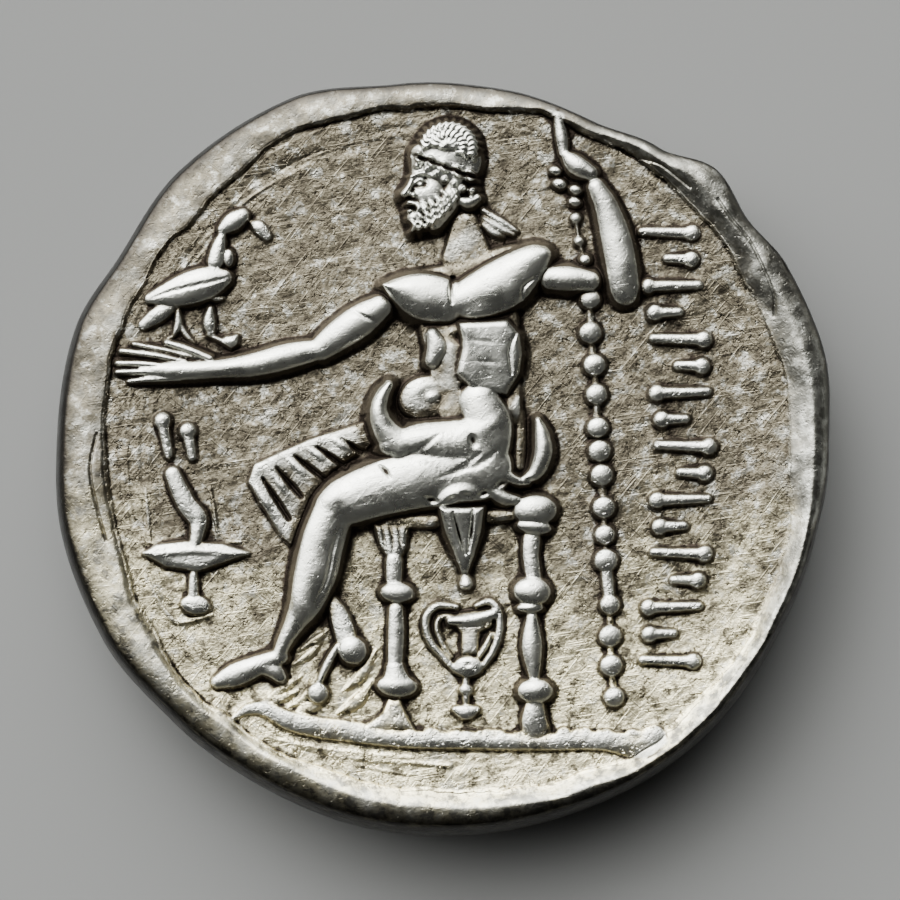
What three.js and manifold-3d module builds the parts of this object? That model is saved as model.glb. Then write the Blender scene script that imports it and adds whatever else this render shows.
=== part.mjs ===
// A struck silver tetradrachm, one solid piece of metal, lying on its front with its back up.
// Millimetres, +Z up. The origin is the middle of the box around the coin, on the surface that it lies on.
// The back shows a bearded god on a throne with an eagle, a beaded sceptre, a torch and a two-handled cup.
// The front, underneath, shows a head in a lion's skin, whose highest part is worn to a small flat.
// Each die is drawn on a grid of its own, of so many units to the radius of its round field.
import * as THREE from 'three';
import { mergeVertices } from 'three/addons/utils/BufferGeometryUtils.js';
import Module from 'manifold-3d';

const wasm = await Module();
wasm.setup();

// The blank, as struck.
const FLAN_RADIUS = 13.15;
const FLAN_THICKNESS = 2.65; // from field to field, in the middle
const EDGE_BULGE = 0.42; // how far the edge stands out past the rim's shoulder
const EDGE_CHAMFER = 0.75; // how far the front field's edge stands inside the outline
const RIM_HEIGHT = 0.5; // of the raised rim above the back field
const BACK_FIELD_RADIUS = 11.65; // to the foot of that rim
const BACK_FIELD_MIDDLE = [0.1, 0.38]; // the back was struck a little off the blank's middle
const LEAST_RIM = 0.5; // width of the rim where the die runs nearest to the edge

// The two dies.
const BACK_DIE_RADIUS = 11.72;
const BACK_DIE_MIDDLE = [0.3, 0.25];
const FRONT_DIE_RADIUS = 11.6;
const GRID_UNITS = 340; // drawing units to a die's radius

// Heights of the carving above its field.
const FIGURE_RELIEF = 0.95;
const LIMB_RELIEF = 0.72;
const FURNITURE_RELIEF = 0.5;
const SYMBOL_RELIEF = 0.36;
const LEGEND_RELIEF = 0.26;
const LINE_RELIEF = 0.18;
const HEAD_RELIEF = 1.2; // of the head on the front, down to its worn flat
const WEAR = 0.14; // what has been rubbed off the top of that head

// How finely the faceted solid is cut.
const ROUND_STEPS = 64;
const BEAD_SIDES = 6;
const DOME_SIDES = 14;
const SINK = 0.3; // how deep a raised form reaches into the metal under it
const LOW_RELIEF = 0.4; // forms up to this height get the plainer section

// Cross sections of a ridge: [share of its half width, share of its height]. A negative rise is a depth.
const HIGH_SECTION = [[-1, -SINK], [1, -SINK], [0.78, 0.66], [0, 1], [-0.78, 0.66]];
const LOW_SECTION = [[-1, -SINK], [1, -SINK], [0.6, 1], [-0.6, 1]];

const COLOUR = 0xb9b4a8;

// The blank's outline: [direction in degrees, share of FLAN_RADIUS]. It has one flat, one notch, two lobes.
const FLAN_OUTLINE = [
  [0, 1.01], [16, 1.037], [29, 1.033], [37.5, 1.014], [46, 1.042], [55, 0.99], [65, 0.966], [80, 0.979],
  [97, 0.987], [113, 1.023], [132, 1.021], [148, 0.996], [160, 1.018], [178, 1.008], [190, 1.014],
  [208, 1.005], [225, 0.983], [240, 0.978], [262, 0.986], [285, 0.987], [312, 0.998], [332, 0.989],
  [346, 0.995],
];

const turn = (degrees) => (degrees * Math.PI) / 180;
const blendSmooth = (share) => share * share * (3 - 2 * share);

// The outline's radius in a direction, eased from one of its points to the next.
function flanRadius(degrees) {
  const d = ((degrees % 360) + 360) % 360;
  const last = FLAN_OUTLINE.length - 1;
  let i = FLAN_OUTLINE.findLastIndex(([at]) => at <= d);
  if (i < 0) i = last;
  const [from, fromShare] = FLAN_OUTLINE[i];
  const [to, toShare] = FLAN_OUTLINE[i === last ? 0 : i + 1];
  const span = i === last ? to + 360 - from : to - from;
  const share = blendSmooth((d - from) / span);
  return FLAN_RADIUS * (fromShare + (toShare - fromShare) * share);
}

// The point from which those radii go out, set so that the box around the outline is centred on the origin.
const outline = Array.from({ length: 360 }, (_, d) => [
  flanRadius(d) * Math.cos(turn(d)),
  flanRadius(d) * Math.sin(turn(d)),
]);
const FLAN_MIDDLE = [0, 1].map((axis) => {
  const along = outline.map((point) => point[axis]);
  return -(Math.min(...along) + Math.max(...along)) / 2;
});

// The back's round field, seen from the blank's middle, kept clear of the edge.
function backFieldRadius(degrees) {
  const [x, y] = BACK_FIELD_MIDDLE;
  const along = x * Math.cos(turn(degrees)) + y * Math.sin(turn(degrees));
  const across = x * Math.sin(turn(degrees)) - y * Math.cos(turn(degrees));
  const toCircle = along + Math.sqrt(BACK_FIELD_RADIUS ** 2 - across ** 2);
  return Math.min(toCircle, flanRadius(degrees) - EDGE_BULGE - LEAST_RIM);
}

// Heights of the two fields above the surface that the coin lies on.
const FRONT_FIELD_Z = HEAD_RELIEF;
const BACK_FIELD_Z = FRONT_FIELD_Z + FLAN_THICKNESS;

function solidFrom(geometry) {
  const bare = geometry.clone();
  bare.deleteAttribute('normal');
  bare.deleteAttribute('uv');
  const merged = mergeVertices(bare, 1e-4);
  return new wasm.Manifold(new wasm.Mesh({
    numProp: 3,
    vertProperties: new Float32Array(merged.attributes.position.array),
    triVerts: new Uint32Array(merged.index.array),
  }));
}

// A closed skin over rings of points, all of the same count, fanned shut over the first and last ring.
function loft(rings) {
  const count = rings[0].length;
  const points = rings.flat();
  const faces = [];
  for (let r = 0; r + 1 < rings.length; r++) {
    for (let i = 0; i < count; i++) {
      const a = r * count + i;
      const b = r * count + ((i + 1) % count);
      faces.push(a, b, a + count, b, b + count, a + count);
    }
  }
  const end = (rings.length - 1) * count;
  for (let i = 1; i + 1 < count; i++) {
    faces.push(0, i + 1, i);
    faces.push(end, end + i, end + i + 1);
  }
  const geometry = new THREE.BufferGeometry();
  geometry.setAttribute('position', new THREE.Float32BufferAttribute(points.flat(), 3));
  geometry.setIndex(faces);
  return geometry;
}

// The blank: rings from the edge of the front field, round the outside and over the rim to the back field.
function blank() {
  const profile = (degrees) => {
    const edge = flanRadius(degrees);
    const field = backFieldRadius(degrees);
    const shoulder = edge - EDGE_BULGE;
    const rimWidth = shoulder - field;
    const rimTop = BACK_FIELD_Z + RIM_HEIGHT;
    const waist = (FRONT_FIELD_Z + rimTop) / 2;
    return [
      [edge - EDGE_CHAMFER, FRONT_FIELD_Z],
      [edge - 0.25 * EDGE_CHAMFER, FRONT_FIELD_Z + 0.35 * (waist - FRONT_FIELD_Z)],
      [edge, waist],
      [edge - 0.3 * EDGE_BULGE, waist + 0.55 * (rimTop - waist)],
      [shoulder, rimTop - 0.3 * RIM_HEIGHT],
      [field + 0.55 * rimWidth, rimTop],
      [field + 0.25 * rimWidth, rimTop - 0.12 * RIM_HEIGHT],
      [field, BACK_FIELD_Z],
    ];
  };
  const directions = Array.from({ length: ROUND_STEPS }, (_, i) => (360 * i) / ROUND_STEPS);
  const profiles = directions.map(profile);
  return solidFrom(loft(profiles[0].map((_, ring) => directions.map((degrees, i) => {
    const [radius, z] = profiles[i][ring];
    return [
      FLAN_MIDDLE[0] + radius * Math.cos(turn(degrees)),
      FLAN_MIDDLE[1] + radius * Math.sin(turn(degrees)),
      z,
    ];
  }))));
}

// The drawing board of one die: it places grid points on the coin and raises forms from its field.
function die(middle, radius, fieldZ, mirror, up) {
  const unit = radius / GRID_UNITS;
  const place = ([x, y]) => [middle[0] + mirror * x * unit, middle[1] + y * unit];
  const raise = ([x, y], height) => [x, y, fieldZ + up * height];
  // Faces are turned round where either the drawing or its heights are mirrored.
  const facing = (geometry) => {
    if (mirror * up < 0) {
      const index = geometry.index.array;
      for (let i = 0; i < index.length; i += 3) [index[i + 1], index[i + 2]] = [index[i + 2], index[i + 1]];
    }
    return solidFrom(geometry);
  };
  const marks = [];

  // A ridge with round ends along stations [x, y, half width, height].
  function ridge(stations) {
    const first = stations[0];
    const last = stations[stations.length - 1];
    const heading = (i) => {
      const from = stations[Math.max(0, i - 1)];
      const to = stations[Math.min(stations.length - 1, i + 1)];
      const length = Math.hypot(to[0] - from[0], to[1] - from[1]);
      return [(to[0] - from[0]) / length, (to[1] - from[1]) / length];
    };
    const cap = ([x, y, half, height], [dx, dy], out) => [
      x + dx * out * half, y + dy * out * half, 0.45 * half, 0.35 * height,
    ];
    const highest = Math.max(...stations.map((station) => station[3]));
    const section = highest > LOW_RELIEF ? HIGH_SECTION : LOW_SECTION;
    const ring = ([x, y, half, height], [dx, dy]) => section.map(([side, rise]) => raise(
      place([x - dy * side * half, y + dx * side * half]),
      rise < 0 ? rise : rise * height,
    ));
    const start = heading(0);
    const end = heading(stations.length - 1);
    const rings = [
      ring(cap(first, start, -0.85), start),
      ...stations.map((station, i) => ring(station, heading(i))),
      ring(cap(last, end, 0.85), end),
    ];
    marks.push(facing(loft(rings)));
  }

  // An oval form: its profile is [share of the half widths, share of the height] from its foot up.
  function oval([x, y], halfLong, halfShort, degrees, height, profile, sides) {
    const c = Math.cos(turn(degrees));
    const s = Math.sin(turn(degrees));
    const rings = profile.map(([share, rise]) => Array.from({ length: sides }, (_, i) => {
      const angle = (2 * Math.PI * i) / sides;
      const along = share * halfLong * Math.cos(angle);
      const across = share * halfShort * Math.sin(angle);
      const point = place([x + along * c - across * s, y + along * s + across * c]);
      return raise(point, rise < 0 ? rise : rise * height);
    }));
    marks.push(facing(loft(rings)));
  }

  return {
    marks,
    ridge,
    // A limb that tapers from one joint to the other.
    limb: (from, to, halfFrom, halfTo, height, heightTo = height) =>
      ridge([[...from, halfFrom, height], [...to, halfTo, heightTo]]),
    // A round-topped oval. A dome is a large one, with a broader crown.
    mound: (middle, halfLong, halfShort, degrees, height) =>
      oval(middle, halfLong, halfShort, degrees, height, [[1, -SINK], [0.78, 0.66], [0.3, 1]], BEAD_SIDES),
    dome: (middle, halfLong, halfShort, degrees, height) => oval(
      middle, halfLong, halfShort, degrees, height,
      [[1, -SINK], [0.9, 0.5], [0.66, 0.84], [0.25, 1]], DOME_SIDES,
    ),
  };
}

const shift = ([x, y], dx, dy) => [x + dx, y + dy];
const mix = ([ax, ay], [bx, by], share) => [ax + (bx - ax) * share, ay + (by - ay) * share];

// The god, seated to the left. Joints of his pose on the back die's grid.
const GOD = {
  head: [-10, 262],
  neck: [12, 214],
  nearShoulder: [-46, 154],
  nearElbow: [-126, 98],
  nearWrist: [-256, 80],
  farShoulder: [88, 186],
  farElbow: [164, 152],
  farHand: [122, 276],
  waist: [36, 78],
  hip: [22, 2],
  knee: [-112, -54],
  ankle: [-160, -192],
  toes: [-234, -232],
};

// His head in profile. The face is a general one, on the thirds of a drawing manual.
function godHead(back) {
  const H = FIGURE_RELIEF;
  const third = 26;
  const face = shift(GOD.head, -24, 0);
  back.mound(GOD.head, 32, 44, 0, 0.72 * H);
  back.dome(shift(GOD.head, 4, 24), 36, 26, 0, 0.9 * H);
  back.limb(shift(face, -4, third), shift(face, -8, 0.9 * third), 7, 8, 0.6 * H);
  back.limb(shift(face, -8, 0.6 * third), shift(face, -15, -0.1 * third), 5, 8, 0.6 * H);
  back.limb(shift(face, -10, -0.55 * third), shift(face, 4, -0.6 * third), 5, 5, 0.6 * H);
  back.ridge([
    [...shift(face, 22, -0.4 * third), 9, 0.72 * H],
    [...shift(face, 4, -1.1 * third), 18, 0.86 * H],
    [...shift(face, -4, -1.9 * third), 12, 0.6 * H],
  ]);
  back.mound(shift(GOD.head, 24, -18), 12, 16, 0, 0.8 * H);
  back.limb(shift(GOD.head, 30, -30), shift(GOD.head, 64, -52), 11, 8, 0.4 * H);
  back.limb(shift(GOD.head, -2, 62), shift(GOD.head, 6, 50), 8, 12, 0.5 * H);
}

function godTrunk(back) {
  const H = FIGURE_RELIEF;
  back.limb(shift(GOD.neck, -4, 16), shift(GOD.neck, 6, -30), 22, 32, 0.55 * H);
  back.ridge([
    [20, 176, 50, 0.66 * H],
    [26, 120, 56, 0.8 * H],
    [...GOD.waist, 42, 0.78 * H],
    [...shift(GOD.hip, 8, 16), 48, 0.8 * H],
  ]);
  back.dome(shift(GOD.nearShoulder, 12, -6), 40, 27, 8, H);
  back.ridge([
    [22, 150, 27, 0.95 * H],
    [56, 160, 30, H],
    [...shift(GOD.farShoulder, -2, -4), 22, 0.92 * H],
  ]);
  back.dome(shift(GOD.waist, -1, 8), 33, 38, 0, 0.98 * H);
  back.mound(shift(GOD.waist, -52, 20), 15, 24, 0, 0.7 * H);
}

function godArms(back) {
  const L = LIMB_RELIEF;
  back.limb(shift(GOD.nearShoulder, -14, -8), shift(GOD.nearElbow, 6, 8), 24, 16, L);
  back.ridge([
    [...shift(GOD.nearElbow, 6, 0), 16, 0.85 * L],
    [...mix(GOD.nearElbow, GOD.nearWrist, 0.35), 20, L],
    [...GOD.nearWrist, 13, 0.75 * L],
  ]);
  for (const [reach, spread] of [[-24, 24], [-56, 16], [-64, 4], [-58, -8]]) {
    const knuckle = shift(GOD.nearWrist, 6, 0.35 * spread);
    back.limb(knuckle, shift(GOD.nearWrist, reach, spread), 7, 5, 0.5 * L);
  }
  back.limb(shift(GOD.farShoulder, 4, -12), shift(GOD.farElbow, -4, 10), 19, 15, L);
  back.ridge([
    [...shift(GOD.farElbow, 0, -2), 16, 0.85 * L],
    [166, 196, 15, L],
    [156, 236, 15, L],
    [...shift(GOD.farHand, 10, -12), 13, 0.85 * L],
  ]);
  back.mound(GOD.farHand, 22, 15, -25, 0.9 * L);
  back.limb(shift(GOD.farHand, -20, -6), shift(GOD.farHand, -14, -30), 6, 6, 0.5 * L);
}

function godLegs(back) {
  const H = FIGURE_RELIEF;
  back.ridge([
    [...GOD.hip, 46, 0.95 * H],
    [-50, -20, 40, H],
    [...shift(GOD.knee, 14, 6), 34, 0.98 * H],
  ]);
  back.ridge([
    [...shift(GOD.knee, 2, 6), 32, 0.96 * H],
    [-130, -110, 29, 0.88 * H],
    [-145, -158, 19, 0.78 * H],
    [...GOD.ankle, 13, 0.6 * H],
  ]);
  back.ridge([
    [...shift(GOD.ankle, -2, -20), 16, 0.55 * H],
    [-200, -222, 15, 0.5 * H],
    [...GOD.toes, 9, 0.35 * H],
  ]);
  back.limb([-118, -148], [-98, -198], 11, 18, 0.5 * H);
  back.limb([-104, -200], [-134, -240], 8, 6, 0.35 * H);
  back.mound([-132, -243], 11, 10, 0, 0.38 * H);
}

// His cloak: a roll round the waist, folds over the thigh, a swag below the seat and a fringed end.
function godCloak(back) {
  const H = FIGURE_RELIEF;
  back.ridge([
    [-60, 64, 8, 0.6 * H],
    [-68, 38, 13, 0.9 * H],
    [-50, 8, 20, 1.04 * H],
    [0, 22, 22, 1.06 * H],
    [50, 34, 16, H],
  ]);
  for (const start of [[-46, -2], [-10, 0], [22, 4]]) {
    back.limb(start, shift(start, -44, -44), 9, 7, 1.08 * H, 0.9 * H);
  }
  back.limb([40, -44], [82, -42], 24, 14, 0.7 * H);
  back.ridge([
    [12, -62, 24, 0.85 * H],
    [15, -104, 17, 0.65 * H],
    [14, -132, 9, 0.4 * H],
  ]);
  const fringe = 6;
  back.limb([-84, 24], [-186, -18], 13, 9, 0.3 * H);
  for (let i = 0; i < fringe; i++) {
    const top = mix([-96, 14], [-190, -26], i / (fringe - 1));
    back.limb(top, shift(top, 22, -26 - 4 * i), 9, 7, 0.3 * H);
  }
}

// One turned leg of the throne, from its knobs at shares of its height.
function throneLeg(back, [x, y], height, girth) {
  const H = FURNITURE_RELIEF;
  back.limb([x, y], [x, y + height], 0.42 * girth, 0.42 * girth, 0.75 * H);
  for (const [share, half] of [[0.09, 0.72], [0.2, 0.82], [0.63, 0.9], [0.97, 1.08]]) {
    back.mound([x, y + share * height], half * girth, 0.75 * half * girth, 0, 1.2 * H);
  }
  back.limb([x - girth, y - 3], [x + girth, y - 3], 7, 7, 0.6 * H);
}

function throne(back) {
  throneLeg(back, [-56, -276], 186, 21);
  throneLeg(back, [82, -284], 220, 23);
  back.limb([-80, -68], [84, -68], 12, 12, FURNITURE_RELIEF);
  back.ridge([
    [90, 22, 7, FURNITURE_RELIEF],
    [93, -2, 12, 1.3 * FURNITURE_RELIEF],
    [84, -32, 14, 1.1 * FURNITURE_RELIEF],
  ]);
}

// The line that the throne stands on, running out into the rim at both ends.
function groundLine(back) {
  back.ridge([
    [-206, -256, 7, LINE_RELIEF],
    [-120, -282, 9, 1.4 * LINE_RELIEF],
    [20, -289, 9, 1.4 * LINE_RELIEF],
    [168, -290, 9, 1.4 * LINE_RELIEF],
  ]);
}

// The sceptre: beads at these stations along its rod, as shares of the way down.
function sceptre(back) {
  const head = [124, 228];
  const foot = [161, -247];
  const rod = 5;
  const bead = 12;
  const beads = 16;
  back.limb(head, foot, rod, rod, 0.6 * SYMBOL_RELIEF);
  for (let i = 0; i < beads; i++) {
    const swell = i < 3 ? 0.6 : 1;
    back.mound(mix(head, foot, i / (beads - 1)), swell * bead, swell * bead, 0, SYMBOL_RELIEF);
  }
}

function eagle(back) {
  const H = SYMBOL_RELIEF;
  const breast = [-228, 166];
  const foot = [-240, 104];
  back.ridge([
    [...shift(breast, -66, -14), 6, 0.8 * H],
    [...shift(breast, -38, -8), 14, 1.3 * H],
    [...breast, 16, 1.5 * H],
  ]);
  back.limb(shift(breast, -60, -32), shift(breast, -80, -42), 9, 8, H);
  back.limb(shift(breast, -6, 12), shift(breast, 8, 50), 10, 8, H);
  back.mound(shift(breast, 14, 58), 17, 11, 32, 1.1 * H);
  back.limb(shift(breast, 24, 58), shift(breast, 40, 52), 7, 5, 0.7 * H);
  for (const side of [-1, 1]) {
    const claw = shift(foot, 14 * side, 0);
    back.limb(shift(claw, 3 * side, 34), claw, 5, 4, 0.7 * H);
    back.limb(shift(claw, -10, -2), shift(claw, 10, 0), 4, 5, 0.6 * H);
  }
}

function torch(back) {
  const H = SYMBOL_RELIEF;
  const bowl = [-252, -108];
  back.ridge([
    [...shift(bowl, -22, 80), 8, H],
    [...shift(bowl, -12, 58), 9, H],
    [...shift(bowl, 0, 40), 9, H],
    [...shift(bowl, -3, 12), 6, H],
  ]);
  back.mound(shift(bowl, 0, -1), 50, 13, 0, 1.2 * H);
  back.limb(bowl, shift(bowl, 0, -40), 5, 5, 0.8 * H);
  back.mound(shift(bowl, 0, -48), 13, 10, 0, H);
}

function cup(back) {
  const H = SYMBOL_RELIEF;
  const lip = [18, -170];
  back.limb(shift(lip, -20, 0), shift(lip, 22, 3), 7, 7, H);
  back.ridge([
    [...shift(lip, 1, -6), 17, 0.8 * H],
    [...shift(lip, -1, -32), 9, 0.8 * H],
  ]);
  back.mound(shift(lip, -2, -47), 16, 11, 0, H);
  back.limb(shift(lip, -3, -58), shift(lip, -3, -84), 5, 5, 0.7 * H);
  back.mound(shift(lip, -3, -88), 14, 7, 0, 0.8 * H);
  for (const side of [-1, 1]) {
    back.ridge([
      [...shift(lip, 16 * side, 9), 5, 0.7 * H],
      [...shift(lip, 34 * side, 2), 5, 0.8 * H],
      [...shift(lip, 33 * side, -24), 5, 0.8 * H],
      [...shift(lip, 17 * side, -50), 5, 0.6 * H],
    ]);
  }
}

// A stroke that swells at both ends, as a die cutter's punch leaves it.
function stroke(back, middle, length, degrees) {
  const half = [0.5 * length * Math.cos(turn(degrees)), 0.5 * length * Math.sin(turn(degrees))];
  const from = shift(middle, -half[0], -half[1]);
  const to = shift(middle, half[0], half[1]);
  back.ridge([
    [...from, 10, LEGEND_RELIEF],
    [...middle, 6, 0.8 * LEGEND_RELIEF],
    [...to, 10, LEGEND_RELIEF],
  ]);
}

// Where the inscription was: pairs of plain strokes down the right, and one more pair above the torch.
function legend(back) {
  const pairs = 9;
  const top = [216, 208];
  const pitch = 50;
  for (let i = 0; i < pairs; i++) {
    const bow = 22 * Math.sin((Math.PI * i) / (pairs - 1));
    const middle = shift(top, bow, -pitch * i);
    const lean = i % 2 ? 14 : -18;
    stroke(back, shift(middle, 0, 11), 46, lean);
    stroke(back, shift(middle, i % 3 ? 6 : -6, -12), 34, lean);
  }
  stroke(back, [-280, 18], 42, 62);
  stroke(back, [-254, 8], 42, 62);
}

// The head in a lion's skin, facing right on the front. Its face is a general one, in thirds too.
const SCALP = [-26, 34];
const CHEEK = [44, -28];

function frontFace(front) {
  const H = HEAD_RELIEF + WEAR;
  const third = 62;
  const brow = shift(CHEEK, 66, third);
  front.dome(CHEEK, 84, 104, 0, 0.98 * H);
  front.limb(shift(CHEEK, -20, -60), shift(CHEEK, -66, -196), 64, 78, 0.6 * H, 0.5 * H);
  front.limb(shift(brow, -40, -8), shift(brow, 4, -2), 11, 12, 0.94 * H, 0.7 * H);
  front.limb(shift(brow, 4, -14), shift(brow, 34, -third), 15, 22, 0.66 * H, 0.56 * H);
  front.mound(shift(brow, -22, -30), 22, 11, 0, 0.9 * H);
  front.dome(shift(brow, -20, -1.5 * third), 40, 50, 0, 0.62 * H);
  front.mound(shift(brow, 18, -1.45 * third), 20, 11, 0, 0.55 * H);
  front.mound(shift(brow, 14, -1.75 * third), 19, 12, 0, 0.54 * H);
  front.mound(shift(brow, -6, -2.2 * third), 30, 26, 0, 0.7 * H);
}

function lionSkin(front) {
  const H = HEAD_RELIEF + WEAR;
  front.dome(SCALP, 168, 168, 0, 0.86 * H);
  front.dome(SCALP, 128, 138, 0, H);
  // The upper jaw and brow, laid over the forehead.
  front.ridge([
    [...shift(SCALP, 182, 60), 18, 0.5 * H],
    [...shift(SCALP, 148, 98), 30, 0.7 * H],
    [...shift(SCALP, 88, 140), 36, 0.9 * H],
    [...shift(SCALP, 10, 156), 34, 0.92 * H],
  ]);
  front.mound(shift(SCALP, -4, 178), 26, 40, 20, 0.84 * H);
  // Rows of mane, each lock lying back from the face.
  const rows = 3;
  const locks = 8;
  for (let row = 0; row < rows; row++) {
    for (let i = 0; i < locks; i++) {
      const angle = turn(106 + (166 * (i + 0.5 * (row % 2))) / locks);
      const lay = angle + 0.16;
      const reach = 112 + 34 * row;
      const from = shift(SCALP, reach * Math.cos(angle), reach * Math.sin(angle));
      const tip = shift(SCALP, (reach + 50) * Math.cos(lay), (reach + 50) * Math.sin(lay));
      front.limb(from, tip, 26 + 3 * row, 20, (0.98 - 0.16 * row) * H, (0.74 - 0.2 * row) * H);
    }
  }
  // The paws, knotted at the neck.
  front.mound(shift(CHEEK, 4, -150), 30, 24, 0, 0.7 * H);
  front.limb(shift(CHEEK, 14, -152), shift(CHEEK, 70, -176), 24, 15, 0.55 * H, 0.35 * H);
  front.limb(shift(CHEEK, 4, -160), shift(CHEEK, 26, -226), 22, 14, 0.5 * H, 0.3 * H);
}

const back = die(
  [FLAN_MIDDLE[0] + BACK_DIE_MIDDLE[0], FLAN_MIDDLE[1] + BACK_DIE_MIDDLE[1]],
  BACK_DIE_RADIUS, BACK_FIELD_Z, 1, 1,
);
godTrunk(back);
godHead(back);
godArms(back);
godLegs(back);
godCloak(back);
throne(back);
groundLine(back);
sceptre(back);
eagle(back);
torch(back);
cup(back);
legend(back);

const front = die(FLAN_MIDDLE, FRONT_DIE_RADIUS, FRONT_FIELD_Z, -1, -1);
lionSkin(front);
frontFace(front);

// What the carving may fill: the blank's outline inside its edge, from the surface that it lies on upward.
function strikeLimits() {
  const top = BACK_FIELD_Z + FIGURE_RELIEF + RIM_HEIGHT;
  const shape = new THREE.Shape(Array.from({ length: ROUND_STEPS }, (_, i) => {
    const degrees = (360 * i) / ROUND_STEPS;
    const inset = flanRadius(degrees) - EDGE_BULGE - 0.5 * LEAST_RIM;
    return new THREE.Vector2(
      FLAN_MIDDLE[0] + inset * Math.cos(turn(degrees)),
      FLAN_MIDDLE[1] + inset * Math.sin(turn(degrees)),
    );
  }));
  return solidFrom(new THREE.ExtrudeGeometry(shape, { depth: top, bevelEnabled: false }));
}

const carving = [...back.marks, ...front.marks].reduce((whole, mark) => whole.add(mark));
const struck = blank().add(carving.intersect(strikeLimits())).getMesh();

const geometry = new THREE.BufferGeometry();
geometry.setAttribute('position', new THREE.BufferAttribute(struck.vertProperties, 3));
geometry.setIndex(new THREE.BufferAttribute(struck.triVerts, 1));
geometry.computeVertexNormals();

const coin = new THREE.Mesh(geometry, new THREE.MeshStandardMaterial({
  color: COLOUR,
  metalness: 1,
  roughness: 0.35,
}));
coin.name = 'silver_coin';

const group = new THREE.Group();
group.add(coin);
export default group;
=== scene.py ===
"""The looks of a struck silver tetradrachm: its relief, its worn and toned metal, the table and the light.

The coin is drawn as two fields of heights, one for each face, in millimetres. Forms are raised on them and
cut into them as a die cutter would, in the die's own units. One closed mesh then takes its shape from both.
"""

import math

import bpy
import numpy as np
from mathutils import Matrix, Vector


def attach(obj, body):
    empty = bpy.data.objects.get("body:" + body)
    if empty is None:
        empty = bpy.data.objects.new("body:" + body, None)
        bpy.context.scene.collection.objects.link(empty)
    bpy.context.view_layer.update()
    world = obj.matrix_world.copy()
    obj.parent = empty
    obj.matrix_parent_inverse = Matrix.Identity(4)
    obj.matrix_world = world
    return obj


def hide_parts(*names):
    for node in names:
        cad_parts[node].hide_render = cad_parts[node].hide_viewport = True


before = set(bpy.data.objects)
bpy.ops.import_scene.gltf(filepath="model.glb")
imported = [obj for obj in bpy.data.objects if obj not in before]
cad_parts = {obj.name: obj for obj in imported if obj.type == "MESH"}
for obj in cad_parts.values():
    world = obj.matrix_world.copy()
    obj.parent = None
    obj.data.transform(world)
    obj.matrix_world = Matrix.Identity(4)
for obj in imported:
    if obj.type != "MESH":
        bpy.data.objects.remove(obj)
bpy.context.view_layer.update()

MM = 0.001
BLANK = "silver_coin"

# The coin's sizes in millimetres, as in the solid.
FLAN_RADIUS = 13.15
FRONT_FIELD_Z = 1.2
BACK_FIELD_Z = 3.85
RIM_HEIGHT = 0.5
BACK_DIE_MIDDLE = (0.3, 0.25)
BACK_DIE_RADIUS = 11.72
FRONT_DIE_RADIUS = 11.6
GRID_UNITS = 340

# Heights of the carving above its field.
FIGURE = 0.95
LIMB = 0.74
FURNITURE = 0.52
SYMBOL = 0.38
LEGEND = 0.3
FRONT_HEAD = 1.34
BORDER_HEIGHT = 0.24

# How a raised form is cut: its wall leans out by this much for its height, and carries its crown this far up.
WALL_LEAN = 0.6
CROWN_FOOT = 0.62
# How far in from its outline a patch is rounded, in the die's units.
PATCH_ROUNDING = 8.0

# How finely the fields are drawn and the mesh is cut.
PITCH = 0.0215
SAMPLES = 1280
DISC_CELLS = 600
EDGE_ROWS = 14
FACE_LIMIT = 196000

# The outline of the blank: directions in degrees and shares of FLAN_RADIUS.
OUTLINE = (
    (0, 1.01), (16, 1.037), (29, 1.033), (37.5, 1.014), (46, 1.042), (55, 0.99), (65, 0.966), (80, 0.979),
    (97, 0.987), (113, 1.023), (132, 1.021), (148, 0.996), (160, 1.018), (178, 1.008), (190, 1.014),
    (208, 1.005), (225, 0.983), (240, 0.978), (262, 0.986), (285, 0.987), (312, 0.998), (332, 0.989),
    (346, 0.995),
)

# How far from the origin the back's rim starts to rise: directions in degrees and millimetres.
RIM_FOOT = (
    (9, 11.85), (27, 11.9), (48, 12.1), (62, 12.15), (93, 11.9), (114, 12.05), (136, 11.8), (156, 11.75),
    (173, 11.5), (196, 11.35), (212, 11.45), (224, 11.6), (250, 11.35), (270, 11.3), (306, 11.9),
    (329, 12.0), (345, 12.0), (357, 11.75),
)


def eighths(*values):
    """Rows of (direction, value) for values at every eighth of a turn."""
    return tuple(zip(range(0, 360, 45), values))


# Where the rim's crest lies between its foot and the edge, how much of its height is a sharp step at the
# foot, and the height itself: shares.
RIM_CREST = eighths(0.6, 0.5, 0.16, 0.1, 0.12, 0.25, 0.42, 0.6)
RIM_STEP = eighths(0.15, 0.3, 0.35, 0.4, 0.35, 0.25, 0.2, 0.15)
RIM_SHARE = eighths(1, 0.85, 0.5, 0.34, 0.38, 0.75, 0.95, 1)

# How far in from the outline the edge's painted shade reaches, and how far in the back's shoulder lies.
EDGE_SHADE_REACH = eighths(0.3, 0.36, 0.72, 1.0, 0.85, 1.05, 1.3, 0.7)
SHOULDER = eighths(0.14, 0.16, 0.2, 0.3, 0.36, 0.36, 0.4, 0.28)
# The front's shoulder lies as far in all round.
FRONT_INSET = 0.6

# The field is a shallow dish, this much deeper in the middle, and it swells towards the rim on the right.
DISH = 0.13
SWELL = 0.1
SWELL_WIDTH = 1.9

# Widths at the rim, in millimetres: the least rim, the step at its foot, the lines that the metal left as it
# flowed, and the change from the field's tone to the rim's.
LEAST_RIM_WIDTH = 0.75
STEP_WIDTH = 0.13
FLOW_WIDTH = 0.8
RIM_TONE_WIDTH = 0.3


def ease(share):
    return share * share * (3 - 2 * share)


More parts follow.
